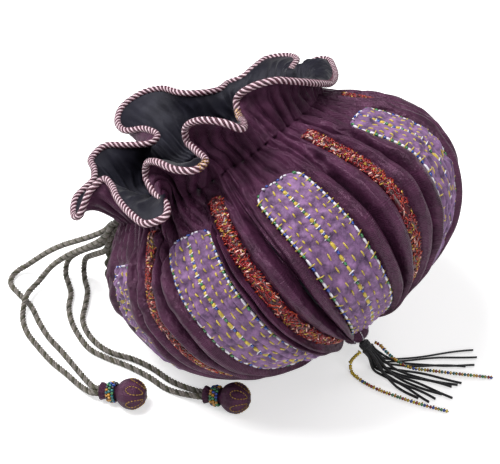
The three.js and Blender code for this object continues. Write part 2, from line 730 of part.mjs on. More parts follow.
function tasselHead() {
  const outline = [
    [0, 0], [HEAD_RADIUS * 0.7, HEAD_LENGTH * 0.08], [HEAD_RADIUS, HEAD_LENGTH * 0.32],
    [HEAD_RADIUS, HEAD_LENGTH * 0.48], [HEAD_RADIUS * 0.83, HEAD_LENGTH * 0.65],
    [HEAD_RADIUS + HEAD_FLARE, HEAD_LENGTH], [0, HEAD_LENGTH],
  ];
  return turned(lathe(outline, 12), headStart, HEAD_DIRECTION);
}

function fabricBall() {
  const arcs = 8;
  const outline = [];
  for (let i = 0; i <= arcs; i += 1) {
    const turn = i * Math.PI / arcs;
    outline.push([BALL_RADIUS * Math.sin(turn), -BALL_HALF_HEIGHT * Math.cos(turn)]);
  }
  outline[0][0] = 0;
  outline[arcs][0] = 0;
  return turned(lathe(outline, 16), belowBase(ballHeight), OUT_OF_BASE);
}

function threadRing(radius, thickness, position, direction, segments) {
  const ring = new THREE.TorusGeometry(radius, thickness, CORD_SIDES, segments);
  ring.rotateX(Math.PI / 2);
  return turned(closed(ring), position, direction);
}

// A strand leaves the head in its row, drops to the floor and fans out along it.
function strandPoints({ turn, reach, row, place }) {
  const across = new THREE.Vector3(-Math.sin(HEAD_HEADING * DEG), Math.cos(HEAD_HEADING * DEG), 0);
  const over = across.clone().cross(HEAD_DIRECTION).negate();
  const start = headStart.clone().addScaledVector(HEAD_DIRECTION, HEAD_LENGTH + GAP);
  start.addScaledVector(across, place * STRAND_SPACING).addScaledVector(over, row * STRAND_SPACING);
  const knee = start.clone().addScaledVector(HEAD_DIRECTION, STRAND_KNEE);
  const landing = STRAND_LANDING + STRAND_LANDING_STEP * row;
  const heading = new THREE.Vector3(Math.cos(turn * DEG), Math.sin(turn * DEG), 0);
  const onFloor = (distance, height = STRAND_REST) => {
    const point = new THREE.Vector3(headStart.x, headStart.y, 0).addScaledVector(heading, distance);
    point.z = height;
    return point;
  };
  const touchdown = onFloor(landing, STRAND_LANDING_HEIGHT + row);
  const flat = onFloor(landing + 2 * STRAND_KNEE);
  return [start, knee, touchdown, flat, onFloor(reach * 0.7), onFloor(reach)];
}

function build() {
  const silk = finish(COLOURS.silk, 0.45);
  const lining = finish(COLOURS.lining, 0.7);
  const velvet = finish(COLOURS.velvet, 0.8);
  const trim = finish(COLOURS.trim, 0.4, 0.4);
  const piping = finish(COLOURS.piping, 0.7);
  const cord = finish(COLOURS.cord, 0.75);
  const beads = finish(COLOURS.beads, 0.25);
  const gold = finish(COLOURS.gold, 0.35, 0.8);
  const black = finish(COLOURS.black, 0.8);

  add('body_silk', bodySilk(), silk);
  add('body_lining', bodyLining(), lining);
  for (let number = 0; number < PANEL_ANGLES.length; number += 1) {
    add(`velvet_panel_${number + 1}`, velvetPanel(number), velvet);
    add(`beaded_trim_${number + 1}`, beadedTrim(number), trim);
  }

  const surface = frillSurface();
  const near = FRILL_LOOSENESS / 2;
  const toLining = (row) => near + (CASING_DEPTH - near) * (1 - smooth(0, 1, row));
  add('frill_silk', frillLayer(surface, () => -near - SILK, () => -near), silk);
  add('frill_lining', frillLayer(surface, toLining, (row) => toLining(row) + LINING), lining);
  add('rim_piping', rimPiping(), piping);

  NECK_CORD_HEIGHTS.forEach((drop, i) => {
    add(`neck_cord_${i + 1}`, neckCord(drop), cord);
  });
  for (const [name, run] of Object.entries(RUNS)) {
    const points = [...vectors(run.points), ...cordEnds(STOPPERS[run.stopper], run.side)];
    add(name, cordAlong(points, CORD_RADIUS, CORD_STEP), cord);
  }
  STOPPERS.forEach((stopper, i) => {
    placeStopper(add(`stopper_ball_${i + 1}`, stopperShape(), silk), stopper);
    placeStopper(add(`bead_collar_${i + 1}`, collarShape(), beads), stopper);
  });
  add('handle_plait', cordAlong(vectors(HANDLE_POINTS), HANDLE_RADIUS, HANDLE_STEP), cord);

  add('base_ring', threadRing(RING_RADIUS, RING_THREAD, belowBase(ringHeight), OUT_OF_BASE, 12), gold);
  add('base_ball', fabricBall(), silk);
  add('tassel_head', tasselHead(), black);
  STRANDS.forEach((strand, i) => {
    const name = `tassel_strand_${String(i + 1).padStart(2, '0')}`;
    add(name, cordAlong(strandPoints(strand), STRAND_RADIUS, STRAND_STEP), black);
  });
  for (const [name, points] of Object.entries(BEAD_STRINGS)) {
    add(name, cordAlong(vectors(points), BEAD_STRING_RADIUS, STRAND_STEP), beads);
  }
}

// The piping stops just short of where it started, as the real binding's ends meet.
function rimPiping() {
  const count = FRILL_COLUMNS;
  const join = 1 - GAP / rimLength;
  const points = [];
  for (let i = 0; i <= count; i += 1) {
    points.push(rimCurve.getPointAt(join * i / count));
  }
  return tube(cordCurve(points), PIPING_RADIUS, count);
}

function collarShape() {
  const radius = STOPPER_NECK_RADIUS + GAP + COLLAR_RADIUS;
  const ring = new THREE.TorusGeometry(radius, COLLAR_RADIUS, CORD_SIDES, STOPPER_SIDES);
  ring.rotateX(Math.PI / 2);
  ring.translate(0, -STOPPER_TAIL + STOPPER_TAIL_LENGTH + STOPPER_NECK_LENGTH / 2, 0);
  return closed(ring);
}

build();

export default bag;
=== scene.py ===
"""Potli bag: a pumpkin-shaped drawstring pouch of silk with velvet panels, lying tilted on its side.

Pieces are built in millimetres and become metres as each mesh is made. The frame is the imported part's.
"""
import logging
import math
from dataclasses import dataclass, field
from enum import Enum
from typing import Iterable

import bmesh
import bpy
import numpy as np
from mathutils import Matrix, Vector


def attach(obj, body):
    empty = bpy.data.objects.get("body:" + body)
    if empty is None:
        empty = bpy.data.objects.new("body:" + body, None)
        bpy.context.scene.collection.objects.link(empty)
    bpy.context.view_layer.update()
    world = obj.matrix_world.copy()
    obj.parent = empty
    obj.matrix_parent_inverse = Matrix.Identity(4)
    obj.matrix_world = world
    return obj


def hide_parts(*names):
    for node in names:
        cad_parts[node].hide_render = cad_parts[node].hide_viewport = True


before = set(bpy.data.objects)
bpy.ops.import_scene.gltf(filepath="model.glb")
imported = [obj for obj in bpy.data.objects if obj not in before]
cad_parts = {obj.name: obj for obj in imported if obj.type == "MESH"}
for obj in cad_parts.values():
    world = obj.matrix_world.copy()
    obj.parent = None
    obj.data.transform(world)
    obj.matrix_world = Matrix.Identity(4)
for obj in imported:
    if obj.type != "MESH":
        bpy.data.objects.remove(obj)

MM = 0.001
DEG = math.pi / 180
BODY = "root"
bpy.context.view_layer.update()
SIDEWAYS = np.array([0, 1.0, 0])
# Cells of unevenness before it repeats.
LATTICE = 64
# A wave texture at scale 1 has bands this far apart, in metres.
WAVE_SPACING = math.pi / 10
log = logging.getLogger("potli_bag")

Route = tuple[tuple[float, float, float], ...]
Array = np.ndarray
Colour = tuple[float, float, float, float]

# Points on the rim: angle in degrees, reach beyond the neck's radius and lift above it, in metres.
RIM_POINTS: Route = (
    (33, 0.011, 0.003), (19, 0.0128, 0.0091), (7, 0.0144, 0.0176), (-3, 0.0133, 0.0264),
    (-11, 0.0047, 0.0298), (-15, -0.0041, 0.0278), (-19, -0.0026, 0.0207), (-23, 0.0125, 0.017),
    (-27, 0.0251, 0.0168), (-31, 0.0251, 0.0251), (-37, 0.0174, 0.0321), (-44, 0.0042, 0.0311),
    (-47, 0.0009, 0.0244), (-45, 0.0081, 0.0188), (-43, 0.0227, 0.0124), (-47, 0.0307, 0.0128),
    (-52, 0.0289, 0.0181), (-59, 0.0174, 0.0258), (-68, 0.0054, 0.0257), (-73, 0.0036, 0.0196),
    (-70, 0.0109, 0.0124), (-63, 0.0238, 0.0037), (-63, 0.0325, -0.0001), (-69, 0.035, 0.0018),
    (-75, 0.0282, 0.0088), (-84, 0.0166, 0.0183), (-95, 0.005, 0.0253), (-102, 0.0028, 0.0291),
    (-105, 0.0117, 0.0279), (-110, 0.023, 0.0194), (-116, 0.0243, 0.0202), (-123, 0.0174, 0.0266),
    (-131, 0.0037, 0.029), (-140, 0.0022, 0.0329), (-151, 0.0055, 0.0378), (-161, 0.0002, 0.039),
    (-164, -0.0112, 0.0328), (-170, -0.024, 0.026), (-181, -0.023, 0.0269), (-185, -0.0099, 0.0334),
    (-183, 0.0069, 0.0384), (-187, 0.0178, 0.0445), (-194, 0.0236, 0.0496), (-204, 0.0232, 0.0497),
    (-211, 0.016, 0.0459), (-217, 0.0016, 0.038), (-224, -0.0014, 0.0327), (-234, 0.0038, 0.0267),
    (-238, 0.0113, 0.0264), (-245, 0.0111, 0.0248), (-250, 0.0194, 0.0255), (-253, 0.0291, 0.0253),
    (-261, 0.0305, 0.0203), (-268, 0.024, 0.0165), (-273, 0.0091, 0.0143), (-279, 0.0093, 0.0125),
    (-282, 0.0202, 0.0116), (-287, 0.0226, 0.0088), (-299, 0.0167, 0.0041), (-312, 0.0125, 0.0018),
)

# Routes of the free cords, the same points as the part's own, in metres.
DRAWCORD_RUNS: dict[str, Route] = {
    "1a": (
        (-0.0472, -0.061, 0.0834), (-0.0528, -0.0628, 0.0797), (-0.0594, -0.0628, 0.0707),
        (-0.0705, -0.0626, 0.0598), (-0.0835, -0.0633, 0.049), (-0.0965, -0.0639, 0.0382),
        (-0.1084, -0.0645, 0.0267), (-0.1193, -0.0655, 0.0147), (-0.1264, -0.0674, 0.0068),
        (-0.1299, -0.0719, 0.0036), (-0.1298, -0.0778, 0.0023), (-0.1257, -0.0829, 0.0021),
        (-0.1153, -0.0862, 0.0021), (-0.1025, -0.0894, 0.0021), (-0.0888, -0.0967, 0.0021),
        (-0.0755, -0.1026, 0.0021), (-0.0604, -0.1068, 0.0021), (-0.0437, -0.1121, 0.0021),
        (-0.0308, -0.1163, 0.0029),
    ),
    "1b": (
        (-0.042, -0.0672, 0.09), (-0.0469, -0.0692, 0.0861), (-0.0513, -0.0694, 0.0771),
        (-0.0593, -0.0691, 0.0663), (-0.0701, -0.0682, 0.0549), (-0.0816, -0.0673, 0.0439),
        (-0.0926, -0.0674, 0.0325), (-0.1021, -0.0684, 0.0211), (-0.1078, -0.0703, 0.0121),
        (-0.1099, -0.0743, 0.0071), (-0.1099, -0.0802, 0.0058), (-0.1075, -0.0867, 0.0071),
        (-0.1039, -0.0938, 0.0055), (-0.0979, -0.1014, 0.0026), (-0.0887, -0.1077, 0.0021),
        (-0.0749, -0.1126, 0.0021), (-0.0599, -0.1168, 0.0021), (-0.0454, -0.1189, 0.0021),
        (-0.0329, -0.1213, 0.0026),
    ),
    "2a": (
        (-0.0526, -0.0561, 0.0755), (-0.0576, -0.0576, 0.071), (-0.062, -0.0573, 0.0603),
        (-0.0686, -0.0568, 0.0503), (-0.08, -0.056, 0.0398), (-0.0919, -0.0552, 0.0285),
        (-0.1006, -0.0545, 0.0179), (-0.1036, -0.0548, 0.0106), (-0.1024, -0.057, 0.0052),
        (-0.0976, -0.06, 0.0023), (-0.0905, -0.0655, 0.0021), (-0.0833, -0.0754, 0.0021),
        (-0.0734, -0.0839, 0.0021), (-0.0601, -0.091, 0.0021), (-0.048, -0.0948, 0.0021),
        (-0.0361, -0.0941, 0.0021), (-0.0206, -0.0913, 0.0021), (-0.0049, -0.0904, 0.0021),
        (0.0103, -0.0911, 0.0021),
    ),
    "2b": (
        (-0.0456, -0.0653, 0.079), (-0.0501, -0.0664, 0.0753), (-0.0539, -0.0658, 0.0658),
        (-0.0596, -0.0637, 0.0549), (-0.0695, -0.0598, 0.044), (-0.0806, -0.0546, 0.0321),
        (-0.0902, -0.0499, 0.0211), (-0.0944, -0.0479, 0.013), (-0.0944, -0.0488, 0.0068),
        (-0.091, -0.0518, 0.0028), (-0.0842, -0.0571, 0.0021), (-0.0768, -0.067, 0.0021),
        (-0.0693, -0.0782, 0.0021), (-0.0599, -0.0848, 0.0021), (-0.0472, -0.0888, 0.0021),
        (-0.0358, -0.0889, 0.0021), (-0.0215, -0.0849, 0.0021), (-0.0078, -0.0838, 0.0021),
        (0.0082, -0.0847, 0.0021),
    ),
}

HANDLE_ROUTE: Route = (
    (-0.0602, -0.0444, 0.0715), (-0.0646, -0.0487, 0.0543), (-0.0678, -0.0511, 0.0381),
    (-0.0691, -0.0519, 0.0243), (-0.0672, -0.0529, 0.0163), (-0.0628, -0.0526, 0.0108),
    (-0.0577, -0.0498, 0.0072), (-0.0538, -0.0446, 0.0052), (-0.0524, -0.037, 0.0044),
    (-0.0542, -0.0209, 0.0044), (-0.0553, -0.0022, 0.0044), (-0.0558, 0.0174, 0.0044),
    (-0.0574, 0.0337, 0.0048), (-0.06, 0.0426, 0.0066), (-0.0636, 0.0482, 0.0108),
    (-0.0669, 0.0513, 0.0173), (-0.0686, 0.0519, 0.0266), (-0.0678, 0.0501, 0.0386),
    (-0.0641, 0.0454, 0.0537), (-0.058, 0.0396, 0.071),
)

BEAD_ROUTES: dict[str, Route] = {
    "1": (
        (0.089, -0.0054, 0.0144), (0.0865, -0.008, 0.0105), (0.0849, -0.009, 0.0066),
        (0.0856, -0.0104, 0.0033), (0.0882, -0.0122, 0.0014), (0.0933, -0.0136, 0.0012),
        (0.1007, -0.0142, 0.0012), (0.1087, -0.0137, 0.0012), (0.117, -0.0122, 0.0012),
        (0.1257, -0.0103, 0.0012), (0.1342, -0.0081, 0.0012), (0.1426, -0.0055, 0.0012),
        (0.151, -0.0026, 0.0012),
    ),
    "2": (
        (0.0927, 0.0033, 0.018), (0.0958, 0.0046, 0.0164), (0.0998, 0.0058, 0.0122),
        (0.1044, 0.0076, 0.008), (0.109, 0.0098, 0.0042), (0.1146, 0.0128, 0.0018),
        (0.1224, 0.0172, 0.0014), (0.1308, 0.0218, 0.0014), (0.1396, 0.0266, 0.0014),
        (0.1484, 0.0316, 0.0014), (0.157, 0.0364, 0.0014),
    ),
}

# Tassel strands: the angle and length of each, the row of the head it leaves, and its place there.
STRANDS: tuple[tuple[float, float, int, float], ...] = (
    (47, 70, 0, 1.9), (42, 71, -1, 1.5), (37.5, 69, 1, 1.5), (34, 63, 0, 0.95), (24, 62, -1, 0.5),
    (20.5, 60, 1, 0.5), (16.5, 57, 0, 0), (12, 60, -1, -0.5), (8, 54, 1, -0.5), (4, 52, 0, -0.95),
    (0, 50, -1, -1.5), (-4, 44, 1, -1.5),
)


def smooth(low: float, high: float, value: Array | float) -> Array:
    """Smoothstep of value between low and high.

    Args:
        low: Where the step starts.
        high: Where it ends.
        value: One number or an array.

    Returns:
        0 before low, 1 after high, and a smooth rise between them.
    """
    part = np.clip((np.asarray(value, float) - low) / (high - low), 0, 1)
    return part * part * (3 - 2 * part)


def uneven(across: Array, along: Array, seed: int) -> Array:
    """Smooth unevenness, as hand-worked cloth has it.

    Args:
        across: Places across the cloth, in steps of the unevenness.
        along: Places along it, in the same steps.
        seed: Which unevenness it is.

    Returns:
        Numbers between -1 and 1, one for each place.
    """
    lattice = np.random.default_rng(seed).uniform(-1, 1, (LATTICE, LATTICE))
    across, along = np.broadcast_arrays(across, along)
    left, low = np.floor(across).astype(int), np.floor(along).astype(int)
    u, v = across - left, along - low
    u, v = u * u * (3 - 2 * u), v * v * (3 - 2 * v)
    i, j, right, high = left % LATTICE, low % LATTICE, (left + 1) % LATTICE, (low + 1) % LATTICE
    near = lattice[i, j] * (1 - u) + lattice[right, j] * u
    far = lattice[i, high] * (1 - u) + lattice[right, high] * u
    return near * (1 - v) + far * v


def unit(vectors: Array) -> Array:
    """Vectors of length one, in the same directions."""
    return vectors / np.maximum(np.linalg.norm(vectors, axis=-1, keepdims=True), 1e-9)


def around(side: Array, top: Array, turn: Array | float) -> Array:
    """Directions at angles in radians, turning from one direction towards another."""
    turn = np.asarray(turn, float)[..., None]
    return side * np.cos(turn) + top * np.sin(turn)


def heading(turn: float, rise: float) -> Array:
    """Direction at an angle over the floor and a rise from it, both in degrees."""
    turn, rise = turn * DEG, rise * DEG
    return np.array([math.cos(rise) * math.cos(turn), math.cos(rise) * math.sin(turn), math.sin(rise)])


def smooth_curve(points: Array, closed: bool = False, each: int = 24) -> Array:
    """Centripetal curve through points, as dense places along it.

    Args:
        points: The points it passes through.
        closed: Whether it joins up.
        each: Places between two points.

    Returns:
        The places, with the first one repeated at the end of a closed curve.
    """
    points = np.asarray(points, float)
    if closed:
        ring = np.vstack([points[-1], points, points[0], points[1]])
    else:
        ring = np.vstack([2 * points[0] - points[1], points, 2 * points[-1] - points[-2]])
    knots = np.sqrt(np.maximum(np.linalg.norm(np.diff(ring, axis=0), axis=1, keepdims=True), 1e-6))
    p0, p1, p2, p3 = ring[:-3], ring[1:-2], ring[2:-1], ring[3:]
    d0, d1, d2 = knots[:-2], knots[1:-1], knots[2:]
    leave = ((p1 - p0) / d0 - (p2 - p0) / (d0 + d1) + (p2 - p1) / d1) * d1
    arrive = ((p2 - p1) / d1 - (p3 - p1) / (d1 + d2) + (p3 - p2) / d2) * d1
    share = (np.arange(each) / each)[None, :, None]
    square, cube = share ** 2, share ** 3
    places = (2 * cube - 3 * square + 1) * p1[:, None] + (cube - 2 * square + share) * leave[:, None]
    places = places + (3 * square - 2 * cube) * p2[:, None] + (cube - square) * arrive[:, None]
    return np.vstack([places.reshape(-1, 3), p2[-1]])


def runs_along(path: Array) -> Array:
    """Length of a polyline up to each of its places."""
    return np.concatenate([[0], np.cumsum(np.linalg.norm(np.diff(path, axis=0), axis=1))])


def evenly(places: Array, count: int) -> tuple[Array, float]:
    """Evenly spaced places along a polyline.

    Args:
        places: The polyline.
        count: How many places, both ends among them.

    Returns:
        The places, and the polyline's length.
    """
    runs = runs_along(places)
    at = np.linspace(0, runs[-1], count)
    return np.stack([np.interp(at, runs, places[:, k]) for k in range(3)], 1), float(runs[-1])


def frames(path: Array) -> tuple[Array, Array]:
    """Two directions square to a path at each of its places, carried along it without twist.

    Args:
        path: Places along a curve.

    Returns:
        The two directions at each place.
    """
    ahead = unit(np.gradient(path, axis=0))
    start = np.array([0, 0, 1.0]) if abs(ahead[0][2]) < 0.9 else np.array([1.0, 0, 0])
    sides = np.empty_like(path)
    side = start - ahead[0] * start.dot(ahead[0])
    for i, forward in enumerate(ahead):
        side = side - forward * side.dot(forward)
        side = side / np.linalg.norm(side)
        sides[i] = side
    return sides, np.cross(ahead, sides)


def plies(path: Array, reach: float, pitch: float, count: int, start: float = 0.0) -> list[Array]:
    """Paths of the plies twisted round a cord's middle.

    Args:
        path: Places along the middle.
        reach: Distance of each ply from it.
        pitch: Length of one turn.
        count: How many plies.
        start: Turn of the first, in radians.

    Returns:
        One path for each ply.
    """
    one, other = frames(path)
    turns = runs_along(path) / pitch
    return [path + reach * around(one, other, start + 2 * math.pi * (turns + ply / count))
            for ply in range(count)]


@dataclass
class Cut:
    """Faces gathered into one mesh, with the finish of each and its corners' places in the weave."""

    points: list[Array] = field(default_factory=list)
    faces: list[list[int]] = field(default_factory=list)
    places: list[tuple[float, float]] = field(default_factory=list)
    finishes: list[int] = field(default_factory=list)
    count: int = 0

    def grid(self, points: Array, across: Array, along: Array, finish: int = 0, flip: bool = False) -> None:
        """Adds quads over rings of points.

        Args:
            points: Rings of points.
            across: Weave place round each ring, in metres, with one more column than the ring.
            along: Weave place along, in metres, of the same shape.
            finish: Finish number.
            flip: Whether the quads face the other way.
        """
        rows, columns = points.shape[:2]
        row, column = np.arange(rows - 1)[:, None] * columns, np.arange(columns)[None, :]
        right = (column + 1) % columns
        corners = [row + column, row + right, row + columns + right, row + columns + column]
        quads = np.stack(corners, -1).reshape(-1, 4) + self.count
        shape = (rows, columns + 1)
        weave = np.stack([np.broadcast_to(across, shape), np.broadcast_to(along, shape)], -1)
        cells = [weave[:-1, :-1], weave[:-1, 1:], weave[1:, 1:], weave[1:, :-1]]
        weave = np.stack(cells, 2).reshape(-1, 4, 2)
        if flip:
            quads, weave = quads[:, ::-1], weave[:, ::-1]
        self.points.append(points.reshape(-1, 3))
        self.faces.extend(quads.tolist())
        self.places.extend(map(tuple, weave.reshape(-1, 2).tolist()))
        self.finishes.extend([finish] * len(quads))
        self.count += rows * columns

    def cap(self, ring: Iterable[int], middle: Array, finish: int = 0) -> None:
        """Closes a ring of points with triangles to a point in its middle.

        Args:
            ring: The ring's point numbers, turning anticlockwise as seen from outside.
            middle: The middle point.
            finish: Finish number.
        """
        ring = list(ring)
        self.points.append(np.asarray(middle, float).reshape(1, 3))
        for a, b in zip(ring, ring[1:] + ring[:1]):
            self.faces.append([a, b, self.count])
            self.places.extend([(0, 0), (MM, 0), (0, MM)])
            self.finishes.append(finish)
        self.count += 1

    def loft(self, rings: Array, across: Array, along: Array, finish: int = 0) -> None:
        """Adds a closed skin over rings of points, with both ends capped.

        Args:
            rings: Rings of points, each turning anticlockwise as seen from the far end.
            across: Weave place round each ring, in metres, with one more column than the ring.
            along: Weave place along, in metres, of the same shape.
            finish: Finish number.
        """
        start, (rows, columns) = self.count, rings.shape[:2]
        self.grid(rings, across, along, finish)
        self.cap(range(start + columns - 1, start - 1, -1), rings[0].mean(0), finish)
        end = start + (rows - 1) * columns
        self.cap(range(end, end + columns), rings[-1].mean(0), finish)

    def both_sides(self, outer: Array, inner: Array, across: Array, along: Array) -> None:
        """Adds a cloth's two sides over rings of points, and turns its edge over at the last ring.

        Args:
            outer: Rings of the outer side.
            inner: Rings of the inner side, one for each of the outer side or for every few.
            across: Weave place round each ring, in metres.
            along: Weave place along, in metres.
        """
        columns, every = outer.shape[1], (len(outer) - 1) // (len(inner) - 1)
        self.grid(outer, across, along)
        self.grid(inner, across, along[::every], flip=True)
        back = self.count - columns
        edge = back - len(inner) * columns
        for i in range(columns):
            j = (i + 1) % columns
            self.faces.append([edge + i, edge + j, back + j, back + i])
            self.places.extend([(0, 0), (MM, 0), (MM, MM), (0, MM)])
            self.finishes.append(0)

    def strand(self, path: Array, radius: Array | float, sides: int = 6, finish: int = 0,
               squash: float = 1.0) -> None:
        """Adds a round strand along a path.

        Args:
            path: Places along its middle.
            radius: Its radius, or one for each place.
            sides: Corners of its section.
            finish: Finish number.
            squash: How flat its section is.
        """
        one, other = frames(path)
        turn = np.arange(sides) * 2 * math.pi / sides
        radius = np.broadcast_to(np.asarray(radius, float), (len(path),))[:, None, None]
        rings = path[:, None] + radius * around(one[:, None], other[:, None] * squash, turn)
        across = np.arange(sides + 1)[None, :] / sides * 2 * math.pi * float(radius.mean()) * MM
        self.loft(rings, across, runs_along(path)[:, None] * MM, finish)

    def bead(self, place: Array, thread: Array, radius: float, half: float, finish: int) -> None:
        """Adds a round seed bead.

        Args:
            place: Its middle.
            thread: Direction of the thread through it.
            radius: Its radius.
            half: Half its length.
            finish: Finish number.
        """
        ends = np.array([-1, -0.55, 0.55, 1])[:, None] * unit(thread)[None] * half + place
        self.strand(ends, radius * np.array([0.45, 1, 1, 0.45]), 7, finish)

    def make(self, name: str, finishes: list["Finish"], node: str = "") -> bpy.types.Object:
        """Turns it into a Blender object that rides on the bag.

        Args:
            name: The piece's name.
            finishes: The finishes that the finish numbers stand for.
            node: The CAD node that it replaces, if any.

        Returns:
            The object.
        """
        mesh = bpy.data.meshes.new(name)
        mesh.from_pydata((np.vstack(self.points) * MM).tolist(), [], self.faces)
        mesh.uv_layers.new(name="weave").data.foreach_set("uv", np.array(self.places, np.float32).reshape(-1))
        for finish in finishes:
            mesh.materials.append(finish.material())
        mesh.polygons.foreach_set("material_index", np.array(self.finishes, np.int32))
        mesh.polygons.foreach_set("use_smooth", [True] * len(mesh.polygons))
        mesh.update()
        piece = bpy.data.objects.new(name, mesh)
        bpy.context.scene.collection.objects.link(piece)
        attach(piece, BODY)
        if node:
            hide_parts(node)
        log.info("%s: %d triangles", name, sum(len(corners) - 2 for corners in self.faces))
        return piece


def srgb(code: int) -> Colour:
    """Linear colour of an sRGB hex value.

    Args:
        code: The value, as 0xRRGGBB.

    Returns:
        Red, green, blue and alpha.
    """
    parts = [(code >> shift & 255) / 255 for shift in (16, 8, 0)]
    linear = [part / 12.92 if part <= 0.04045 else ((part + 0.055) / 1.055) ** 2.4 for part in parts]
    return (*linear, 1.0)


def add_node(tree: bpy.types.NodeTree, kind: str, inputs: dict | None = None, **settings) -> bpy.types.Node:
    """Adds a node with its settings, values and links.

    Args:
        tree: The material's or world's nodes.
        kind: The node's type.
        inputs: Value or linked socket of each input, by its name or number.
        **settings: The node's own settings.

    Returns:
        The node.
    """
    made = tree.nodes.new(kind)
    for name, value in settings.items():
        setattr(made, name, value)
    for name, value in (inputs or {}).items():
        if isinstance(value, bpy.types.NodeSocket):
            tree.links.new(value, made.inputs[name])
        else:
            made.inputs[name].default_value = value
    return made


@dataclass(frozen=True)
class Finish:
    """A finish: what the real material is, how it was made, and how it takes light."""

    name: str
    colour: int
    deep: int
    patch_mm: float
    roughness: float
    metallic: float = 0.0
    ior: float = 1.5
    sheen: float = 0.0
    sheen_tint: int = 0xffffff
    weave_mm: float = 0.0
    weave_height_mm: float = 0.0
    crinkle_mm: float = 0.0
    crinkle_height_mm: float = 0.0
    coat: float = 0.0
    glint: int = 0xffffff

    def material(self) -> bpy.types.Material:
        """The Blender material of this finish, made the first time it is asked for."""
        made = bpy.data.materials.get(self.name)
        return made if made else self.mix()

    def mix(self) -> bpy.types.Material:
        """Builds the finish's nodes.

        Returns:
            The material.
        """
        material = bpy.data.materials.new(self.name)
        material.use_nodes = True
        tree = material.node_tree
        tree.nodes.clear()
        weave = add_node(tree, "ShaderNodeUVMap", uv_map="weave").outputs["UV"]
        solid = add_node(tree, "ShaderNodeTexCoord").outputs["Object"]
        patches = add_node(tree, "ShaderNodeTexNoise", {
            "Vector": solid, "Scale": 1 / (self.patch_mm * MM), "Detail": 5.0, "Roughness": 0.62})
        spread = add_node(tree, "ShaderNodeMapRange", {
            "Value": patches.outputs["Fac"], "From Min": 0.32, "From Max": 0.68})
        colour = add_node(tree, "ShaderNodeMix", {
            0: spread.outputs["Result"], 6: srgb(self.deep), 7: srgb(self.colour)}, data_type="RGBA")
        skin = add_node(tree, "ShaderNodeBsdfPrincipled", {
            "Base Color": colour.outputs[2], "Metallic": self.metallic, "IOR": self.ior,
            "Specular Tint": srgb(self.glint),
            "Sheen Weight": self.sheen, "Sheen Roughness": 0.4, "Sheen Tint": srgb(self.sheen_tint),
            "Coat Weight": self.coat, "Coat Roughness": 0.12})
        rough = add_node(tree, "ShaderNodeMapRange", {
            "Value": patches.outputs["Fac"], "From Min": 0.3, "From Max": 0.7,
            "To Min": self.roughness + 0.08, "To Max": max(self.roughness - 0.08, 0.04)})
        tree.links.new(rough.outputs["Result"], skin.inputs["Roughness"])
        normal = self.relief(tree, weave, solid)
        if normal:
            tree.links.new(normal, skin.inputs["Normal"])
        add_node(tree, "ShaderNodeOutputMaterial", {"Surface": skin.outputs["BSDF"]})
        return material

    def relief(self, tree: bpy.types.NodeTree, weave: bpy.types.NodeSocket,
               solid: bpy.types.NodeSocket) -> bpy.types.NodeSocket | None:
        """Builds the small relief: threads both ways, and crinkles.

        Args:
            tree: The material's nodes.
            weave: Places in the weave.
            solid: Places in the object.

        Returns:
            The normal, or nothing for a finish without relief.
        """
        layers = []
        if self.weave_mm:
            for direction in ("X", "Y"):
                threads = add_node(tree, "ShaderNodeTexWave", {
                    "Vector": weave, "Scale": WAVE_SPACING / (self.weave_mm * MM), "Distortion": 1.6,
                    "Detail": 1.0}, bands_direction=direction)
                layers.append((threads, 0.5, self.weave_height_mm))
        if self.crinkle_mm:
            crinkles = add_node(tree, "ShaderNodeTexNoise", {
                "Vector": solid, "Scale": 1 / (self.crinkle_mm * MM), "Detail": 3.0, "Roughness": 0.5})
            layers.append((crinkles, 0.7, self.crinkle_height_mm))
        normal = None
        for layer, strength, height in layers:
            inputs = {"Height": layer.outputs["Fac"], "Strength": strength, "Distance": height * MM}
            if normal:
                inputs["Normal"] = normal
            normal = add_node(tree, "ShaderNodeBump", inputs).outputs["Normal"]
        return normal


def glass_bead(colour_name: str, colour: int, deep: int) -> Finish:
    """Glass seed bead, drawn and cut: glossy, with a bright spot on each."""
    return Finish(f"glass_seed_bead_{colour_name}", colour, deep, 1.5, 0.14, coat=0.8)


# The real thread spacings named below are typical values, not measured ones.
# Dupion silk, plain-woven from uneven threads and piece-dyed: a soft lustre, with slubs and crinkles.
# Its threads are 0.25 mm apart and are drawn at 0.9 mm, to show.
SILK = Finish("dupion_silk_woven", 0x502b44, 0x281121, 12, 0.34, sheen=0.05, sheen_tint=0x8a4a74,
              glint=0xdcaccb, weave_mm=0.9, weave_height_mm=0.3, crinkle_mm=3.6, crinkle_height_mm=1.3)
# Silk taffeta, plain-woven and pressed: dark, smooth, with a faint cool sheen. Its threads are 0.2 mm apart
# and are drawn at 0.8 mm, to show.
LINING = Finish("silk_taffeta_woven", 0x1f1e28, 0x0f0e14, 18, 0.46, sheen=0.02, sheen_tint=0x5a5d78,
                glint=0x94949f, weave_mm=0.8, weave_height_mm=0.06, crinkle_mm=8, crinkle_height_mm=0.7)
# Rayon velvet, cut pile crushed in patches: its colour is mottled at random between deep purple and pale
# lilac, partly the crushed pile's own tone and partly a painted highlight.
VELVET_PAINTED_HIGHLIGHT = Finish("rayon_velvet_crushed_pile_painted_highlight", 0x926a99, 0x382140, 6, 0.68, sheen=0.55,
                sheen_tint=0xc6a4d2, crinkle_mm=2.0, crinkle_height_mm=0.9)
# Viscose cord, plied and twisted: matt threads with small glints along each ply. Its yarns are 0.3 mm thick
# and are drawn at 0.7 mm, to show.
CORD_GREY = Finish("viscose_cord_twisted_olive_grey", 0x8f8880, 0x4c4641, 1.8, 0.5, sheen=0.4,
                   sheen_tint=0xc9c8bd, weave_mm=0.7, weave_height_mm=0.22)
CORD_DARK = Finish("viscose_cord_plaited_olive_black", 0x57543f, 0x1f1e18, 3.0, 0.55, sheen=0.35,
                   sheen_tint=0xa8a58b, weave_mm=0.7, weave_height_mm=0.22)
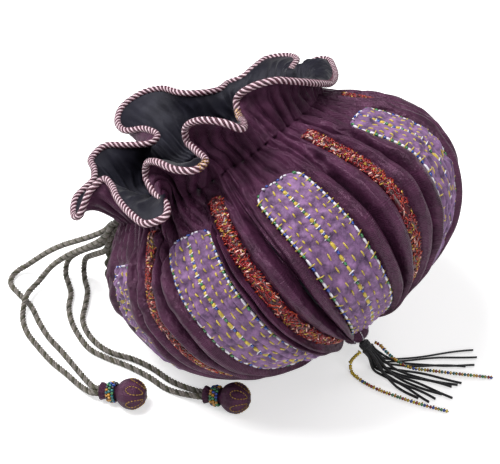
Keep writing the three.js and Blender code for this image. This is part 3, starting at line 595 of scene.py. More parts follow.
# Mercerised cotton, plied and twisted into piping: soft bright threads, 0.25 mm apart and drawn at 0.5 mm.
PIPING_PALE = Finish("mercerised_cotton_pale_pink", 0xf0dce2, 0xc9a0b0, 2.0, 0.45, sheen=0.3,
                     weave_mm=0.5, weave_height_mm=0.1)
PIPING_DARK = Finish("mercerised_cotton_burgundy", 0x541a30, 0x260b18, 2.0, 0.5, sheen=0.3,
                     sheen_tint=0xc48aa0, weave_mm=0.5, weave_height_mm=0.1)
# Metallised thread, foil wound on a core: bright small glints. The foil's turns are 0.2 mm apart and are
# drawn at 0.4 mm, to show.
GOLD_THREAD = Finish("gold_foil_thread_wound", 0xd8b25a, 0x8f6a26, 1.5, 0.34, metallic=0.7,
                     weave_mm=0.4, weave_height_mm=0.08)
# Stranded embroidery cotton and viscose, hand-sewn: soft bright stitches.
THREAD_WHITE = Finish("embroidery_viscose_white", 0xf3f1f5, 0xbfb8cb, 2.0, 0.35, sheen=0.3)
THREAD_YELLOW = Finish("embroidery_viscose_yellow", 0xd9c04a, 0x98801f, 2.0, 0.38, sheen=0.3)
# Rayon thread, dyed black and cut: a soft silky shine. Its fibres are drawn at 0.5 mm, to show.
THREAD_BLACK = Finish("rayon_tassel_thread_black", 0x27272b, 0x101013, 2.5, 0.42, sheen=0.25,
                      weave_mm=0.5, weave_height_mm=0.1)
# Gimp, cut lengths of wound rayon and bugle bead sewn in a dense band: red, with pink bugles and gold glints;
# the orange snips are painted highlights on the red gimp.
GIMP_RED = Finish("rayon_gimp_cut_red", 0xa8181e, 0x540b15, 1.6, 0.3, coat=0.4)
GIMP_DARK = Finish("rayon_gimp_cut_maroon", 0x5c1020, 0x2c0813, 1.6, 0.35, coat=0.3)
GIMP_ORANGE_PAINTED_GLINT = Finish("rayon_gimp_orange_painted_glint", 0xd04c26, 0x912812, 1.6, 0.3, coat=0.4)
BUGLE_PINK = Finish("glass_bugle_bead_pink", 0xf2c9bd, 0xd08c7c, 1.6, 0.15, coat=0.6)
BEAD_BLUE = glass_bead("blue", 0x2350b4, 0x142c72)
BEAD_TEAL = glass_bead("teal", 0x1e7f82, 0x0e4046)
BEAD_GREEN = glass_bead("green", 0x3f9154, 0x1d4e2e)
BEAD_AMBER = glass_bead("amber", 0xd59a2c, 0x8d5c12)
BEAD_YELLOW = glass_bead("yellow", 0xe6c93a, 0xa58516)
BEAD_RED = glass_bead("red", 0xa32c26, 0x571210)
BEAD_DARK = glass_bead("dark", 0x2a2f3c, 0x14161d)


class Stitch(Enum):
    """What a stitch on a panel is made of."""

    WHITE = THREAD_WHITE
    YELLOW = THREAD_YELLOW
    BLUE = BEAD_BLUE
    GREEN = BEAD_GREEN


class Under(Enum):
    """What covers the silk: its columns, where the gathers start and are full, and room over the floor."""

    FOLD = (22, 0.4, 0.62, 0.0)
    PANEL = (28, 0.68, 0.75, 1.5)
    TRIM = (9, 0.84, 0.91, 2.1)


@dataclass(frozen=True)
class Pouch:
    """The pouch's own shape, the same as the part's, in millimetres and degrees."""

    lean: float = 46
    centre: tuple[float, float, float] = (27, 0, 85)
    equator_radius: float = 104
    equator_height: float = -6
    base_height: float = -74
    neck_height: float = 51
    neck_radius: float = 67
    base_bluntness: float = 2.25
    slump_around: float = -126.4
    panel_half: float = 17
    trim_half: float = 4.4
    panel_neck_taper: float = 0.76
    panel_base_taper: float = 0.6
    crowded: float = 0.45
    seam_room: float = 0.5
    # Angle of each strip at the equator and at the neck.
    panel_angles: tuple = (
        (-117, -104), (-69, -63), (-29, -27), (23, 19), (67, 64), (111, 112), (155, 158), (199, 204))
    trim_angles: tuple = (
        (-93, -81), (-53, -49), (-3, -2), (45, 41), (89, 88), (133, 135), (177, 181), (221, 229))

    @property
    def axis(self) -> Array:
        """Direction from the base to the mouth."""
        return np.array([-math.cos(self.lean * DEG), 0, math.sin(self.lean * DEG)])

    def around(self, angle: Array | float) -> Array:
        """Directions out from the axis at angles in radians; 0 is the upper side."""
        return around(np.array([math.sin(self.lean * DEG), 0, math.cos(self.lean * DEG)]), SIDEWAYS, angle)

    @property
    def upper_height(self) -> float:
        """Height from the equator to the neck."""
        return self.neck_height - self.equator_height

    def axis_point(self, height: Array | float) -> Array:
        """Places on the slumped axis.

        Args:
            height: Heights from the equator's centre.

        Returns:
            The places.
        """
        height = np.asarray(height, float)
        slump = 3 + 8 * smooth(-15, 45, height)
        return np.array(self.centre) + height[..., None] * self.axis \
            + slump[..., None] * self.around(self.slump_around * DEG)

    def profile(self, t: Array | float) -> tuple[Array, Array]:
        """Height and radius of the body.

        Args:
            t: Place along a strip: -1 is the base, 0 the equator and 1 the neck.

        Returns:
            Height along the axis and radius, one for each place.
        """
        t = np.asarray(t, float)
        upper = np.clip(t, 0, 1.2)
        turn = (np.clip(t, -1, 0) + 1) * math.pi / 2
        power = 2 / self.base_bluntness
        depth = self.equator_height - self.base_height
        height = np.where(t > 0, self.equator_height + upper * (self.neck_height - self.equator_height),
                          self.equator_height - depth * np.maximum(np.cos(turn), 0) ** power)
        widen = self.equator_radius - self.neck_radius
        radius = np.where(t > 0, self.neck_radius + widen * (1 - upper ** 2),
                          self.equator_radius * np.sin(turn) ** power)
        return height, radius

    def point(self, t: Array, angle: Array, push: Array | float = 0.0, floor: Array | float = 0.0) -> Array:
        """Places on the body, pushed out by a height of cloth and stopped above the floor.

        Args:
            t: Places along the strips.
            angle: Angles around the axis, in radians.
            push: How far out.
            floor: The lowest that they may lie.

        Returns:
            The places.
        """
        t, angle, push, floor = np.broadcast_arrays(np.asarray(t, float), angle, push, floor)
        height, radius = self.profile(t)
        low_height, low_radius = self.profile(np.maximum(t - 0.01, -1))
        high_height, high_radius = self.profile(np.minimum(t + 0.01, 1))
        rise, spread = high_height - low_height, high_radius - low_radius
        run = np.hypot(rise, spread)
        radius = np.maximum(radius + push * rise / run, 0)
        place = self.axis_point(height - push * spread / run) + radius[..., None] * self.around(angle)
        place[..., 2] = np.maximum(place[..., 2], floor)
        return place

    def middle(self, trim: bool, number: int, t: Array) -> Array:
        """Middle angle of a strip, in radians.

        Args:
            trim: Whether it is a trim, not a panel.
            number: Which of the eight.
            t: Places along it.

        Returns:
            The angle at each place.
        """
        equator, neck = (self.trim_angles if trim else self.panel_angles)[number % 8]
        base = (-92.5 if trim else -115) + (number % 8) * 45
        end = np.where(t > 0, neck, base)
        return (equator + (end - equator) * smooth(0, 1, np.abs(t)) + 360 * (number // 8)) * DEG

    def strip(self, trim: bool, number: int, t: Array) -> tuple[Array, Array]:
        """Middle angle and half width of a strip, in radians; panels give way where trims crowd them.

        Args:
            trim: Whether it is a trim, not a panel.
            number: Which of the eight.
            t: Places along it.

        Returns:
            The angle and the half width at each place.
        """
        t = np.asarray(t, float)
        middle = self.middle(trim, number, t)
        radius = np.maximum(self.profile(t)[1], self.equator_radius * self.crowded)
        trim_half = self.trim_half / radius
        if trim:
            return middle, trim_half
        taper = np.where(t > 0, self.panel_neck_taper, self.panel_base_taper)
        half = self.panel_half * (1 + (taper - 1) * t * t) / radius
        space = np.minimum(self.middle(True, number, t) - middle, middle - self.middle(True, number - 1, t))
        return middle, np.minimum(half, space - trim_half - self.seam_room / radius)

    def gather(self, angle: Array, rise: Array) -> Array:
        """Height of the fine gathers round the neck.

        Args:
            angle: Angle round the neck, in radians.
            rise: Millimetres above the neck seam, less than 0 below it.

        Returns:
            Height of the cloth, in millimetres.
        """
        turn = angle / (2 * math.pi)
        drift = 0.7 * uneven(turn * 19, rise / 17, 5) + 0.25 * uneven(turn * 41, rise / 9, 6)
        wide = np.abs(np.sin(math.pi * (70 * turn + drift))) ** 0.7
        fine = np.abs(np.sin(math.pi * (131 * turn + 1.3 * drift + 0.3)))
        uneven_height = 0.95 + 0.4 * uneven(turn * 27, rise / 30, 7)
        return (6.0 * wide + 0.8 * fine - 4.7) * uneven_height


POUCH = Pouch()


@dataclass
class Studio:
    """Camera at the photograph's angle, plain soft lamps and a pale floor."""

    target: tuple[float, float, float] = (-0.0114, 0.0157, 0.040)
    azimuth: float = 38
    elevation: float = 42
    distance: float = 1.100
    lens: float = 127.7
    floor_half: float = 6.0
    lamps: tuple = (("overhead", (-0.45, -0.35, 1.5), 0.8, 27), ("left", (-1.4, -0.5, 0.8), 0.8, 10),
                    ("right", (1.3, -0.4, 1.0), 0.9, 8), ("behind", (0.3, 1.3, 1.2), 1.0, 9))

    def build(self) -> None:
        """Makes the camera, the lamps, the world and the floor."""
        self.camera()
        for name, place, size, power in self.lamps:
            self.lamp(name, place, size, power)
        self.world()
        self.floor()
        bpy.context.scene.view_settings.view_transform = "Standard"

    def camera(self) -> None:
        """Puts the camera in place."""
        turn, rise = self.azimuth * DEG, self.elevation * DEG
        back = Vector((math.sin(turn) * math.cos(rise), -math.cos(turn) * math.cos(rise), math.sin(rise)))
        data = bpy.data.cameras.new("camera")
        data.lens = self.lens
        camera = bpy.data.objects.new("camera", data)
        camera.location = Vector(self.target) + back * self.distance
        camera.rotation_euler = back.to_track_quat("Z", "Y").to_euler()
        bpy.context.scene.collection.objects.link(camera)
        bpy.context.scene.camera = camera

    def lamp(self, name: str, place: tuple[float, float, float], size: float, power: float) -> None:
        """Adds one soft square lamp that faces the bag.

        Args:
            name: Its name.
            place: Where it hangs, in metres.
            size: Its width, in metres.
            power: Its power, in watts.
        """
        data = bpy.data.lights.new(name, "AREA")
        data.energy, data.size = power, size
        lamp = bpy.data.objects.new(name, data)
        lamp.location = place
        lamp.rotation_euler = (Vector(place) - Vector((0.02, 0, 0.08))).to_track_quat("Z", "Y").to_euler()
        bpy.context.scene.collection.objects.link(lamp)

    def world(self) -> None:
        """Plain soft light from all round, and white where the camera sees it and where it is seen through
        glass.
        """
        world = bpy.data.worlds.new("soft_room")
        world.use_nodes = True
        tree = world.node_tree
        tree.nodes.clear()
        rays = add_node(tree, "ShaderNodeLightPath").outputs
        seen = add_node(tree, "ShaderNodeMath", {0: rays["Is Camera Ray"], 1: rays["Is Transmission Ray"]},
                        operation="MAXIMUM")
        room = add_node(tree, "ShaderNodeBackground", {"Color": srgb(0xffffff), "Strength": 0.24})
        white = add_node(tree, "ShaderNodeBackground", {"Color": srgb(0xffffff), "Strength": 1.0})
        mixed = add_node(tree, "ShaderNodeMixShader", {
            0: seen.outputs[0], 1: room.outputs[0], 2: white.outputs[0]})
        add_node(tree, "ShaderNodeOutputWorld", {"Surface": mixed.outputs[0]})
        bpy.context.scene.world = world

    def floor(self) -> None:
        """Adds the pale floor, which keeps the bag's shadow."""
        mesh = bpy.data.meshes.new("floor")
        wide = self.floor_half
        corners = [(wide * x, wide * y, 0) for x, y in ((-1, -1), (1, -1), (1, 1), (-1, 1))]
        mesh.from_pydata(corners, [], [(0, 1, 2, 3)])
        floor = bpy.data.objects.new("floor", mesh)
        bpy.context.scene.collection.objects.link(floor)
        material = bpy.data.materials.new("matt_paper_white")
        material.use_nodes = True
        tree = material.node_tree
        tree.nodes.clear()
        rays = add_node(tree, "ShaderNodeLightPath").outputs
        paper = add_node(tree, "ShaderNodeBsdfDiffuse", {"Color": srgb(0xe6e6e6)})
        lift = add_node(tree, "ShaderNodeEmission", {"Color": srgb(0xffffff), "Strength": 0.5})
        bright = add_node(tree, "ShaderNodeAddShader", {0: paper.outputs[0], 1: lift.outputs[0]})
        mixed = add_node(tree, "ShaderNodeMixShader", {
            0: rays["Is Camera Ray"], 1: paper.outputs[0], 2: bright.outputs[0]})
        add_node(tree, "ShaderNodeOutputMaterial", {"Surface": mixed.outputs[0]})
        mesh.materials.append(material)


@dataclass
class Cords:
    """The two looped drawcords and their stopper balls, and the plaited handle."""

    radius: float = 1.85
    pitch: float = 7.0
    ball: float = 9.2
    tail: float = 19
    dip: float = 8.8
    headings: tuple[float, float] = (22.4, 21.3)
    places: tuple = ((0, -112), (50, -77))
    # Distance of a drawcord's plies from its middle, their radius, and half the gap between a pair's runs.
    ply_reach: float = 1.05
    ply: float = 0.84
    apart: float = 0.3
    # How far behind a ball's tail a run comes to its line, and where it ends.
    entries: tuple[float, float] = (5, 0.3)
    handle_radius: float = 4
    # Length of one turn of the plait, how far its cords swing sideways and up, and the plies of each.
    plait_pitch: float = 26
    plait_swing: tuple[float, float] = (1.75, 1.15)
    plait_ply_reach: float = 0.72
    plait_ply_pitch: float = 4.2
    plait_ply: float = 0.8
    petals: int = 6
    petal_stitches: int = 18
    gold: float = 0.3
    # Radius and place along the axis of each row of collar beads; radius and half length of a bead.
    collar_rows: tuple = ((5.2, -13.7), (5.7, -11.9), (5.4, -10.1))
    collar_beads: int = 19
    bead: tuple[float, float] = (0.95, 0.75)

    def build(self) -> None:
        """Makes the drawcords and the handle; stoppers() makes the ball at the end of each pair."""
        for name, points in DRAWCORD_RUNS.items():
            self.drawcord(name, np.array(points) / MM)
        self.handle()

    def ball_frame(self, which: int) -> tuple[Array, Array]:
        """Middle of a stopper ball and the directions of its axis, side and top.

        Args:
            which: 0 or 1.

        Returns:
            The middle, and three directions as rows.
        """
        ahead = heading(self.headings[which], self.dip)
        side = unit(np.cross(ahead, [0, 0, 1.0]))
        middle = np.array([*self.places[which], self.ball], float)
        return middle, np.stack([ahead, side, np.cross(side, ahead)])

    def drawcord(self, name: str, points: Array) -> None:
        """Makes one run of drawcord, three plies twisted together.

        Args:
            name: The run's name in the part.
            points: Its route.
        """
        which = 0 if name[0] == "1" else 1
        hand = {"1a": -1, "1b": 1, "2a": 1, "2b": -1}[name]
        middle, (ahead, _, _) = self.ball_frame(which)
        turn = self.headings[which] * DEG
        across = np.array([math.sin(turn), -math.cos(turn), 0]) * hand * (self.radius + self.apart)
        ends = [middle - ahead * (self.tail + back) + across for back in self.entries]
        places = smooth_curve(np.vstack([points, *[end[None] for end in ends]]))
        path, length = evenly(places, 400)
        cut = Cut()
        for number, ply in enumerate(plies(path, self.ply_reach, self.pitch, 3)):
            cut.strand(ply, self.ply, 7, number // 2)
        cord = cut.make(f"drawcord_run_{name}", [CORD_GREY, CORD_DARK], f"drawcord_{name}")

    def handle(self) -> None:
        """Makes the handle, three twisted cords in a plait."""
        path, length = evenly(smooth_curve(np.array(HANDLE_ROUTE) / MM), 330)
        one, other = frames(path)
        run = np.linspace(0, length, len(path))
        cut = Cut()
        for strand in range(3):
            turn = 2 * math.pi * (run / self.plait_pitch + strand / 3)
            swing, lift = self.plait_swing[0] * np.sin(turn), self.plait_swing[1] * np.sin(2 * turn)
            middle = path + one * swing[:, None] + other * lift[:, None]
            for ply in plies(middle, self.plait_ply_reach, self.plait_ply_pitch, 3, strand):
                cut.strand(ply, self.plait_ply, 6)
        handle = cut.make("handle_plait_cords", [CORD_DARK], "handle_plait")

    def stoppers(self) -> None:
        """Makes both stopper balls with their loops of gold stitching and bead collars."""
        for which in (0, 1):
            self.stopper(which)
            self.collar(which)

    def stopper(self, which: int) -> None:
        """Makes a stopper ball: a pleated silk ball gathered to an open tail, stitched in gold.

        Args:
            which: 0 or 1.
        """
        middle, (ahead, side, top) = self.ball_frame(which)
        turn = np.arange(56) * 2 * math.pi / 56
        outline = [(3.6, -18.9), (5.3, -18.8), (5.0, -17.6), (4.2, -15.4), (3.5, -13), (3.4, -10.6),
                   (4.1, -8.7)]
        outline += [(self.ball * math.sin(a * DEG), self.ball * math.cos(a * DEG)) for a in range(148, 4, -8)]
        rings = []
        for radius, along in outline:
            tuck = 0.22 if along > -8 else 0.5
            reach = radius * (1 + tuck * 0.16 * (np.abs(np.sin(7 * turn)) - 0.6))
            rings.append(middle + ahead * along + reach[:, None] * around(side, top, turn))
        rings = np.array(rings)
        cut = Cut()
        across = np.linspace(0, 0.058, 57)[None, :]
        along = np.array([row[1] for row in outline])[:, None] * MM
        cut.loft(rings, across, along)
        ball = cut.make(f"stopper_silk_{which + 1}", [SILK], f"stopper_ball_{which + 1}")
        self.loops(which, middle, ahead, side, top)

    def loops(self, which: int, middle: Array, ahead: Array, side: Array, top: Array) -> None:
        """Adds the gold oval loops stitched on a stopper ball.

        Args:
            which: 0 or 1.
            middle: The ball's middle.
            ahead: Its axis.
            side: Its side.
            top: Its top.
        """
        cut = Cut()
        reach = self.ball + 0.12
        for petal in range(self.petals):
            centre = petal * (360 / self.petals) * DEG
            for step in range(self.petal_stitches):
                ends = []
                for part in (step, step + 0.62):
                    turn = part / self.petal_stitches * 2 * math.pi
                    angle = centre + 0.30 * math.sin(turn)
                    tilt = (58 - 34 * math.cos(turn)) * DEG
                    out = around(side, top, angle)
                    ends.append(middle + reach * (out * math.sin(tilt) + ahead * math.cos(tilt)))
                cut.strand(np.array(ends), self.gold, 5)
        cut.make(f"stopper_loops_{which + 1}", [GOLD_THREAD])

    def collar(self, which: int) -> None:
        """Adds three rows of seed beads round a stopper's neck.

        Args:
            which: 0 or 1.
        """
        middle, (ahead, side, top) = self.ball_frame(which)
        finishes = [BEAD_TEAL, BEAD_BLUE, BEAD_DARK, BEAD_AMBER, BEAD_GREEN]
        pick = np.random.default_rng(40 + which)
        cut = Cut()
        for row, (reach, along) in enumerate(self.collar_rows):
            for step in range(self.collar_beads):
                angle = (step + 0.5 * (row % 2)) * 2 * math.pi / self.collar_beads
                out = around(side, top, angle)
                place = middle + ahead * along + out * reach
                cut.bead(place, np.cross(out, ahead), *self.bead, int(pick.integers(5)))
        cut.make(f"stopper_beads_{which + 1}", finishes, f"bead_collar_{which + 1}")


@dataclass
class Body:
    """The pouch itself: folded silk, its lining, velvet panels with hand stitching, and beaded trims."""

    silk: float = 1.0
    gap: float = 0.3
    velvet: float = 1.2
    trim_height: float = 3.2
    bed: float = 0.55
    ridge: float = 5.0
    valley: float = 8.5
    rows: int = 113
    panel_ends: tuple[float, float] = (-0.84, 0.68)
    trim_ends: tuple[float, float] = (-0.7, 0.84)

    def build(self) -> None:
        """Makes every layer of the pouch."""
        self.shell()
        self.lining()
        for number in range(8):
            self.panel(number)
            self.stitches(number)
            self.trim(number)

    def fold(self, u: Array, t: Array, space: int) -> Array:
        """Height of the silk's folds between two strips.

        Args:
            u: Place across the space, 0 to 1.
            t: Place along the strips.
            space: Which of the sixteen spaces.

        Returns:
            Height in millimetres.
        """
        pick = np.random.default_rng(300 + space)
        drift = pick.uniform(0.05, 0.1)
        lean = pick.choice([-1, 1]) * pick.uniform(0.1, 0.24)
        phase = pick.uniform(0, 6)
        middle = 0.5 + drift * np.sin(2.4 * t + phase)
        warped = np.where(u < middle, 0.5 * u / middle, 0.5 + 0.5 * (u - middle) / (1 - middle))
        puff = self.ridge * np.abs(np.sin(2 * math.pi * warped)) ** 0.75
        puff = puff * (1 + 0.3 * uneven(u * 2 + space * 7, t * 3, 11))
        crease = self.valley * np.exp(-((warped - 0.5) / 0.075) ** 2)
        second = 0.5 + lean * 1.6 * (t + 0.1) + 0.12 * np.sin(3 * t + phase)
        depth = 5.0 * smooth(0.05, 0.3, 0.5 - np.abs(second - 0.5))
        crease = crease + depth * np.exp(-((u - second) / 0.045) ** 2)
        share = (1 - 0.85 * smooth(0.45, 0.95, t)) * smooth(-1, -0.72, t)
        return (puff - crease) * share

    def shell(self) -> None:
        """Makes the silk shell, with folds between the strips and fine gathers below the neck."""
        t = np.linspace(-1, 1, self.rows)[:, None]
        columns, pushes, floors = [], [], []
        for number in range(8):
            panel, panel_half = POUCH.strip(False, number, t)
            trim, trim_half = POUCH.strip(True, number, t)
            after, after_half = POUCH.strip(False, number + 1, t)
            spans = ((panel - panel_half, panel + panel_half, Under.PANEL, 0),
                     (panel + panel_half, trim - trim_half, Under.FOLD, 2 * number),
                     (trim - trim_half, trim + trim_half, Under.TRIM, 0),
                     (trim + trim_half, after - after_half, Under.FOLD, 2 * number + 1))
            for start, end, under, space in spans:
                count, opening, full, floor = under.value
                for step in range(count):
                    u = step / count
                    angle = start + (end - start) * u
                    push = POUCH.gather(angle, (t - 1) * POUCH.upper_height) * smooth(opening, full, t)
                    if under is Under.FOLD:
                        small = 0.9 * uneven(angle * 26, t * 9, 12) * smooth(-1, -0.8, t)
                        push = push + self.fold(u + 0 * t, t, space) + small
                    columns.append(angle)
                    pushes.append(push)
                    floors.append(floor)
        angle, push = np.hstack(columns), np.hstack(pushes)
        outer = POUCH.point(t, angle, push, np.array(floors)[None, :])
        inner = POUCH.point(t, angle, push - self.silk, np.array(floors)[None, :] + self.silk)
        cut = Cut()
        across = np.append(angle[0], angle[0][0] + 2 * math.pi)[None, :] * 0.09
        cut.both_sides(outer, inner[::4], across, t * 0.1)
        shell = cut.make("body_silk_folded", [SILK], "body_silk")

    def lining(self) -> None:
        """Makes the lining that hangs inside the silk's folds."""
        t = np.linspace(-1, 1, 40)[:, None]
        angle = np.linspace(0, 2 * math.pi, 161)[None, :-1]
        close = 1.3 + 4.0 * smooth(0.5, 0.68, t)
        small = 0.7 * uneven(angle * 9, t * 5, 21) * smooth(-1, -0.8, t)
        push = -close - 6.2 + 3.8 * smooth(0.4, 1, t) + small
        outer = POUCH.point(t, angle, push, 4.1)
        inner = POUCH.point(t, angle, push - 0.8, 4.9)
        cut = Cut()
        across = np.linspace(0, 0.56, 161)[None, :]
        cut.both_sides(outer, inner, across, t * 0.1)
        lining = cut.make("body_lining_taffeta", [LINING], "body_lining")

    def panel_edge(self, number: int, t: Array) -> tuple[Array, Array]:
        """Middle angle and half width of a panel's cloth, with its corners rounded off.

        Args:
            number: Which of the eight.
            t: Places along it.

        Returns:
            The angle and the half width at each place.
        """
        middle, half = POUCH.strip(False, number, t)
        half = half - POUCH.seam_room / POUCH.profile(t)[1]
        top = np.clip((t - (self.panel_ends[1] - 0.15)) / 0.15, 0, 1)
        foot = np.clip(((self.panel_ends[0] + 0.07) - t) / 0.07, 0, 1)
        rounded = np.sqrt(np.maximum(1 - 0.72 * top ** 3.2, 0)) * np.sqrt(np.maximum(1 - 0.5 * foot ** 3, 0))
        return middle, half * rounded

    def pile(self, s: Array, t: Array, number: int) -> Array:
        """Height of the crushed pile, which puffs up between its stitched rows.

        Args:
            s: Place across the panel, -1 to 1.
            t: Place along it.
            number: Which of the eight.

        Returns:
            Height in millimetres above the sewn level.
        """
        quilt = np.abs(np.sin(math.pi * 3 * s)) ** 0.6
        ripple = uneven(s * 1.6 + number * 5, t * 19 + number * 3, 31)
        small = uneven(s * 6 + number * 9, t * 46, 32)
        return 0.2 + 1.3 * quilt + 1.35 * ripple * (0.3 + quilt) + 0.35 * small

    def panel(self, number: int) -> None:
        """Makes one velvet panel.

        Args:
            number: Which of the eight.
        """
        rows, columns = 150, 43
        t = np.linspace(*self.panel_ends, rows)[:, None]
        middle, half = self.panel_edge(number, t)
        s = np.linspace(-1, 1, columns)[None, :]
        edge = np.minimum((1 - np.abs(s)) * 7, 1) ** 0.5
        ends = np.minimum(np.minimum(t - self.panel_ends[0], self.panel_ends[1] - t) * 40, 1) ** 0.5
        height = self.gap + (self.bed + self.pile(s, t, number)) * edge * ends
        face = POUCH.point(t, middle + half * s, height, 0.0)
        back = POUCH.point(t, middle + half * s[:, ::6], 0.15, self.velvet)
        rings = np.concatenate([face, back[:, ::-1]], 1)
        cut = Cut()
        width = np.concatenate([(s[0] + 1) * 0.017, (s[0, ::6][::-1] + 1) * 0.017 + 0.04, [0.08]])
        cut.loft(rings, width[None, :], t * 0.1)
        node = f"velvet_panel_{number + 1}"
        # The velvet's pale lilac patches are partly a painted highlight.
        panel = cut.make(f"velvet_panel_crushed_{number + 1}", [VELVET_PAINTED_HIGHLIGHT], node)

    def stitches(self, number: int) -> None:
        """Sews the stitches of one panel: whipped edges, a couched middle row and running stitches.

        Args:
            number: Which of the eight.
        """
        low, high = self.panel_ends
        cut = Cut()
        pick = np.random.default_rng(500 + number)
        steps = 23
        for s, colours in ((-0.95, Stitch.WHITE), (0.95, Stitch.WHITE), (0.0, Stitch.YELLOW)):
            for step in range(steps):
                start = low + 0.02 + (high - low - 0.04) * step / steps
                long = (high - low) / steps
                self.sew(cut, number, (s, start), (s, start + 0.58 * long), 0.8 if s else 1.25, colours)
                charm = Stitch.BLUE if pick.random() < 0.55 else Stitch.GREEN
                self.sew(cut, number, (s, start + 0.64 * long), (s, start + 0.9 * long), 1.0, charm)
                cross = Stitch.YELLOW if colours is Stitch.WHITE else Stitch.WHITE
                reach = (0.13 if s else 0.07) + 0.05 * pick.random()
                self.sew(cut, number, (s - reach, start), (s + reach, start + 0.1 * long), 0.38, cross)
        for step in range(7):
            s = -0.8 + 1.6 * step / 7
            mark = Stitch.BLUE if step % 3 == 1 else Stitch.WHITE
            self.sew(cut, number, (s, high - 0.012), (s + 0.16, high - 0.012), 0.6, mark)
        for s in (-0.66, -0.33, 0.33, 0.66):
            for step in range(18):
                start = low + 0.03 + (high - low - 0.06) * (step + 0.25 * pick.random()) / 18
                end = (s + 0.02 * pick.normal(), start + 0.036)
                self.sew(cut, number, (s, start), end, 0.55, Stitch.YELLOW)
        cut.make(f"panel_stitches_{number + 1}", [stitch.value for stitch in Stitch])

    def sew(self, cut: Cut, number: int, start: tuple[float, float], end: tuple[float, float], radius: float,
            stitch: Stitch) -> None:
        """Adds one stitch or bead that lies on a panel.

        Args:
            cut: The mesh it goes into.
            number: Which panel.
            start: Where it starts, across and along the panel.
            end: Where it ends.
            radius: Its radius.
            stitch: What it is.
        """
        share = np.array([0, 0.25, 0.75, 1])
        s = start[0] + (end[0] - start[0]) * share
        t = start[1] + (end[1] - start[1]) * share
        lift = np.array([-0.15, 0.25, 0.25, -0.15])
        middle, half = self.panel_edge(number, t)
        height = self.gap + self.bed + self.pile(s, t, number) * np.minimum((1 - np.abs(s)) * 7, 1)
        path = POUCH.point(t, middle + half * s, height, 0.25)
        out = unit(path - POUCH.axis_point(POUCH.profile(t)[0]))
        path = path + out * (lift + 0.1)[:, None]
        low = np.maximum(radius * 1.05 - path[:, 2], 0)
        path[:, 2] += np.minimum(low, 1.0)
        cut.strand(path, radius * np.array([0.6, 1, 1, 0.6]), 5, list(Stitch).index(stitch))

    def trim(self, number: int) -> None:
        """Makes one beaded trim: a padded band under a dense tangle of cut gimp and bugle beads.

        Args:
            number: Which of the eight.
        """
        rows = 90
        t = np.linspace(*self.trim_ends, rows)[:, None]
        middle, half = POUCH.strip(True, number, t)
        half = half - POUCH.seam_room / POUCH.profile(t)[1]
        taper = self.trim_taper(t)
        s = np.linspace(-1, 1, 9)[None, :]
        crown = self.gap + (self.trim_height - 1.1) * np.sqrt(np.maximum(1 - s ** 2 * 0.98, 0)) * taper
        face = POUCH.point(t, middle + half * taper * s, crown, 0.0)
        back = POUCH.point(t, middle + half * taper * s[:, ::4], 0.1, 1.8)
        cut = Cut()
        cut.loft(np.concatenate([face, back[:, ::-1]], 1), np.linspace(0, 0.02, 13)[None, :], t * 0.1, 1)
        pick = np.random.default_rng(700 + number)
        for _ in range(630):
            at, side = pick.uniform(*self.trim_ends), pick.uniform(-1, 1)
            width = float(self.trim_taper(at))
            mid, wide = POUCH.strip(True, number, at)
            turn, long = pick.uniform(0, math.pi), pick.uniform(1.9, 3.9)
            # Kind 2, the orange snips, are painted highlights on the red gimp.
            kind = int(pick.choice(5, p=(0.5, 0.22, 0.12, 0.06, 0.1)))
            self.snip(cut, (at, float(mid + wide * width * side * 0.92)), turn, long, kind, side, width)
        finishes = [GIMP_RED, GIMP_DARK, GIMP_ORANGE_PAINTED_GLINT, BUGLE_PINK, GOLD_THREAD]
        cut.make(f"beaded_trim_gimp_{number + 1}", finishes, f"beaded_trim_{number + 1}")

    def trim_taper(self, t: Array | float) -> Array:
        """Share of its full width that a trim has at places along it."""
        return 0.55 + 0.45 * smooth(self.trim_ends[0], self.trim_ends[0] + 0.35, t)

    def snip(self, cut: Cut, place: tuple[float, float], turn: float, long: float, kind: int, side: float,
             width: float) -> None:
        """Adds one cut length of gimp to a trim.

        Args:
            cut: The mesh it goes into.
            place: Where it is, along and round the pouch.
            turn: Which way it lies, in radians.
            long: Its length.
            kind: Its finish number.
            side: Place across the trim, -1 to 1.
            width: How wide the trim is there, as a share.
        """
        at, angle = place
        radius = float(POUCH.profile(at)[1])
        step_t, step_angle = math.cos(turn) * long / 2 / 100, math.sin(turn) * long / 2 / radius
        crown = self.gap + (self.trim_height - 1.0) * math.sqrt(max(1 - side ** 2, 0.04)) * width
        ends = POUCH.point(np.array([at - step_t, at, at + step_t]),
                           np.array([angle - step_angle, angle, angle + step_angle]),
                           np.array([crown - 0.3, crown + 0.35, crown - 0.1]), 0.4)
        cut.strand(ends, 0.4 if kind < 3 else 0.44, 4, kind)


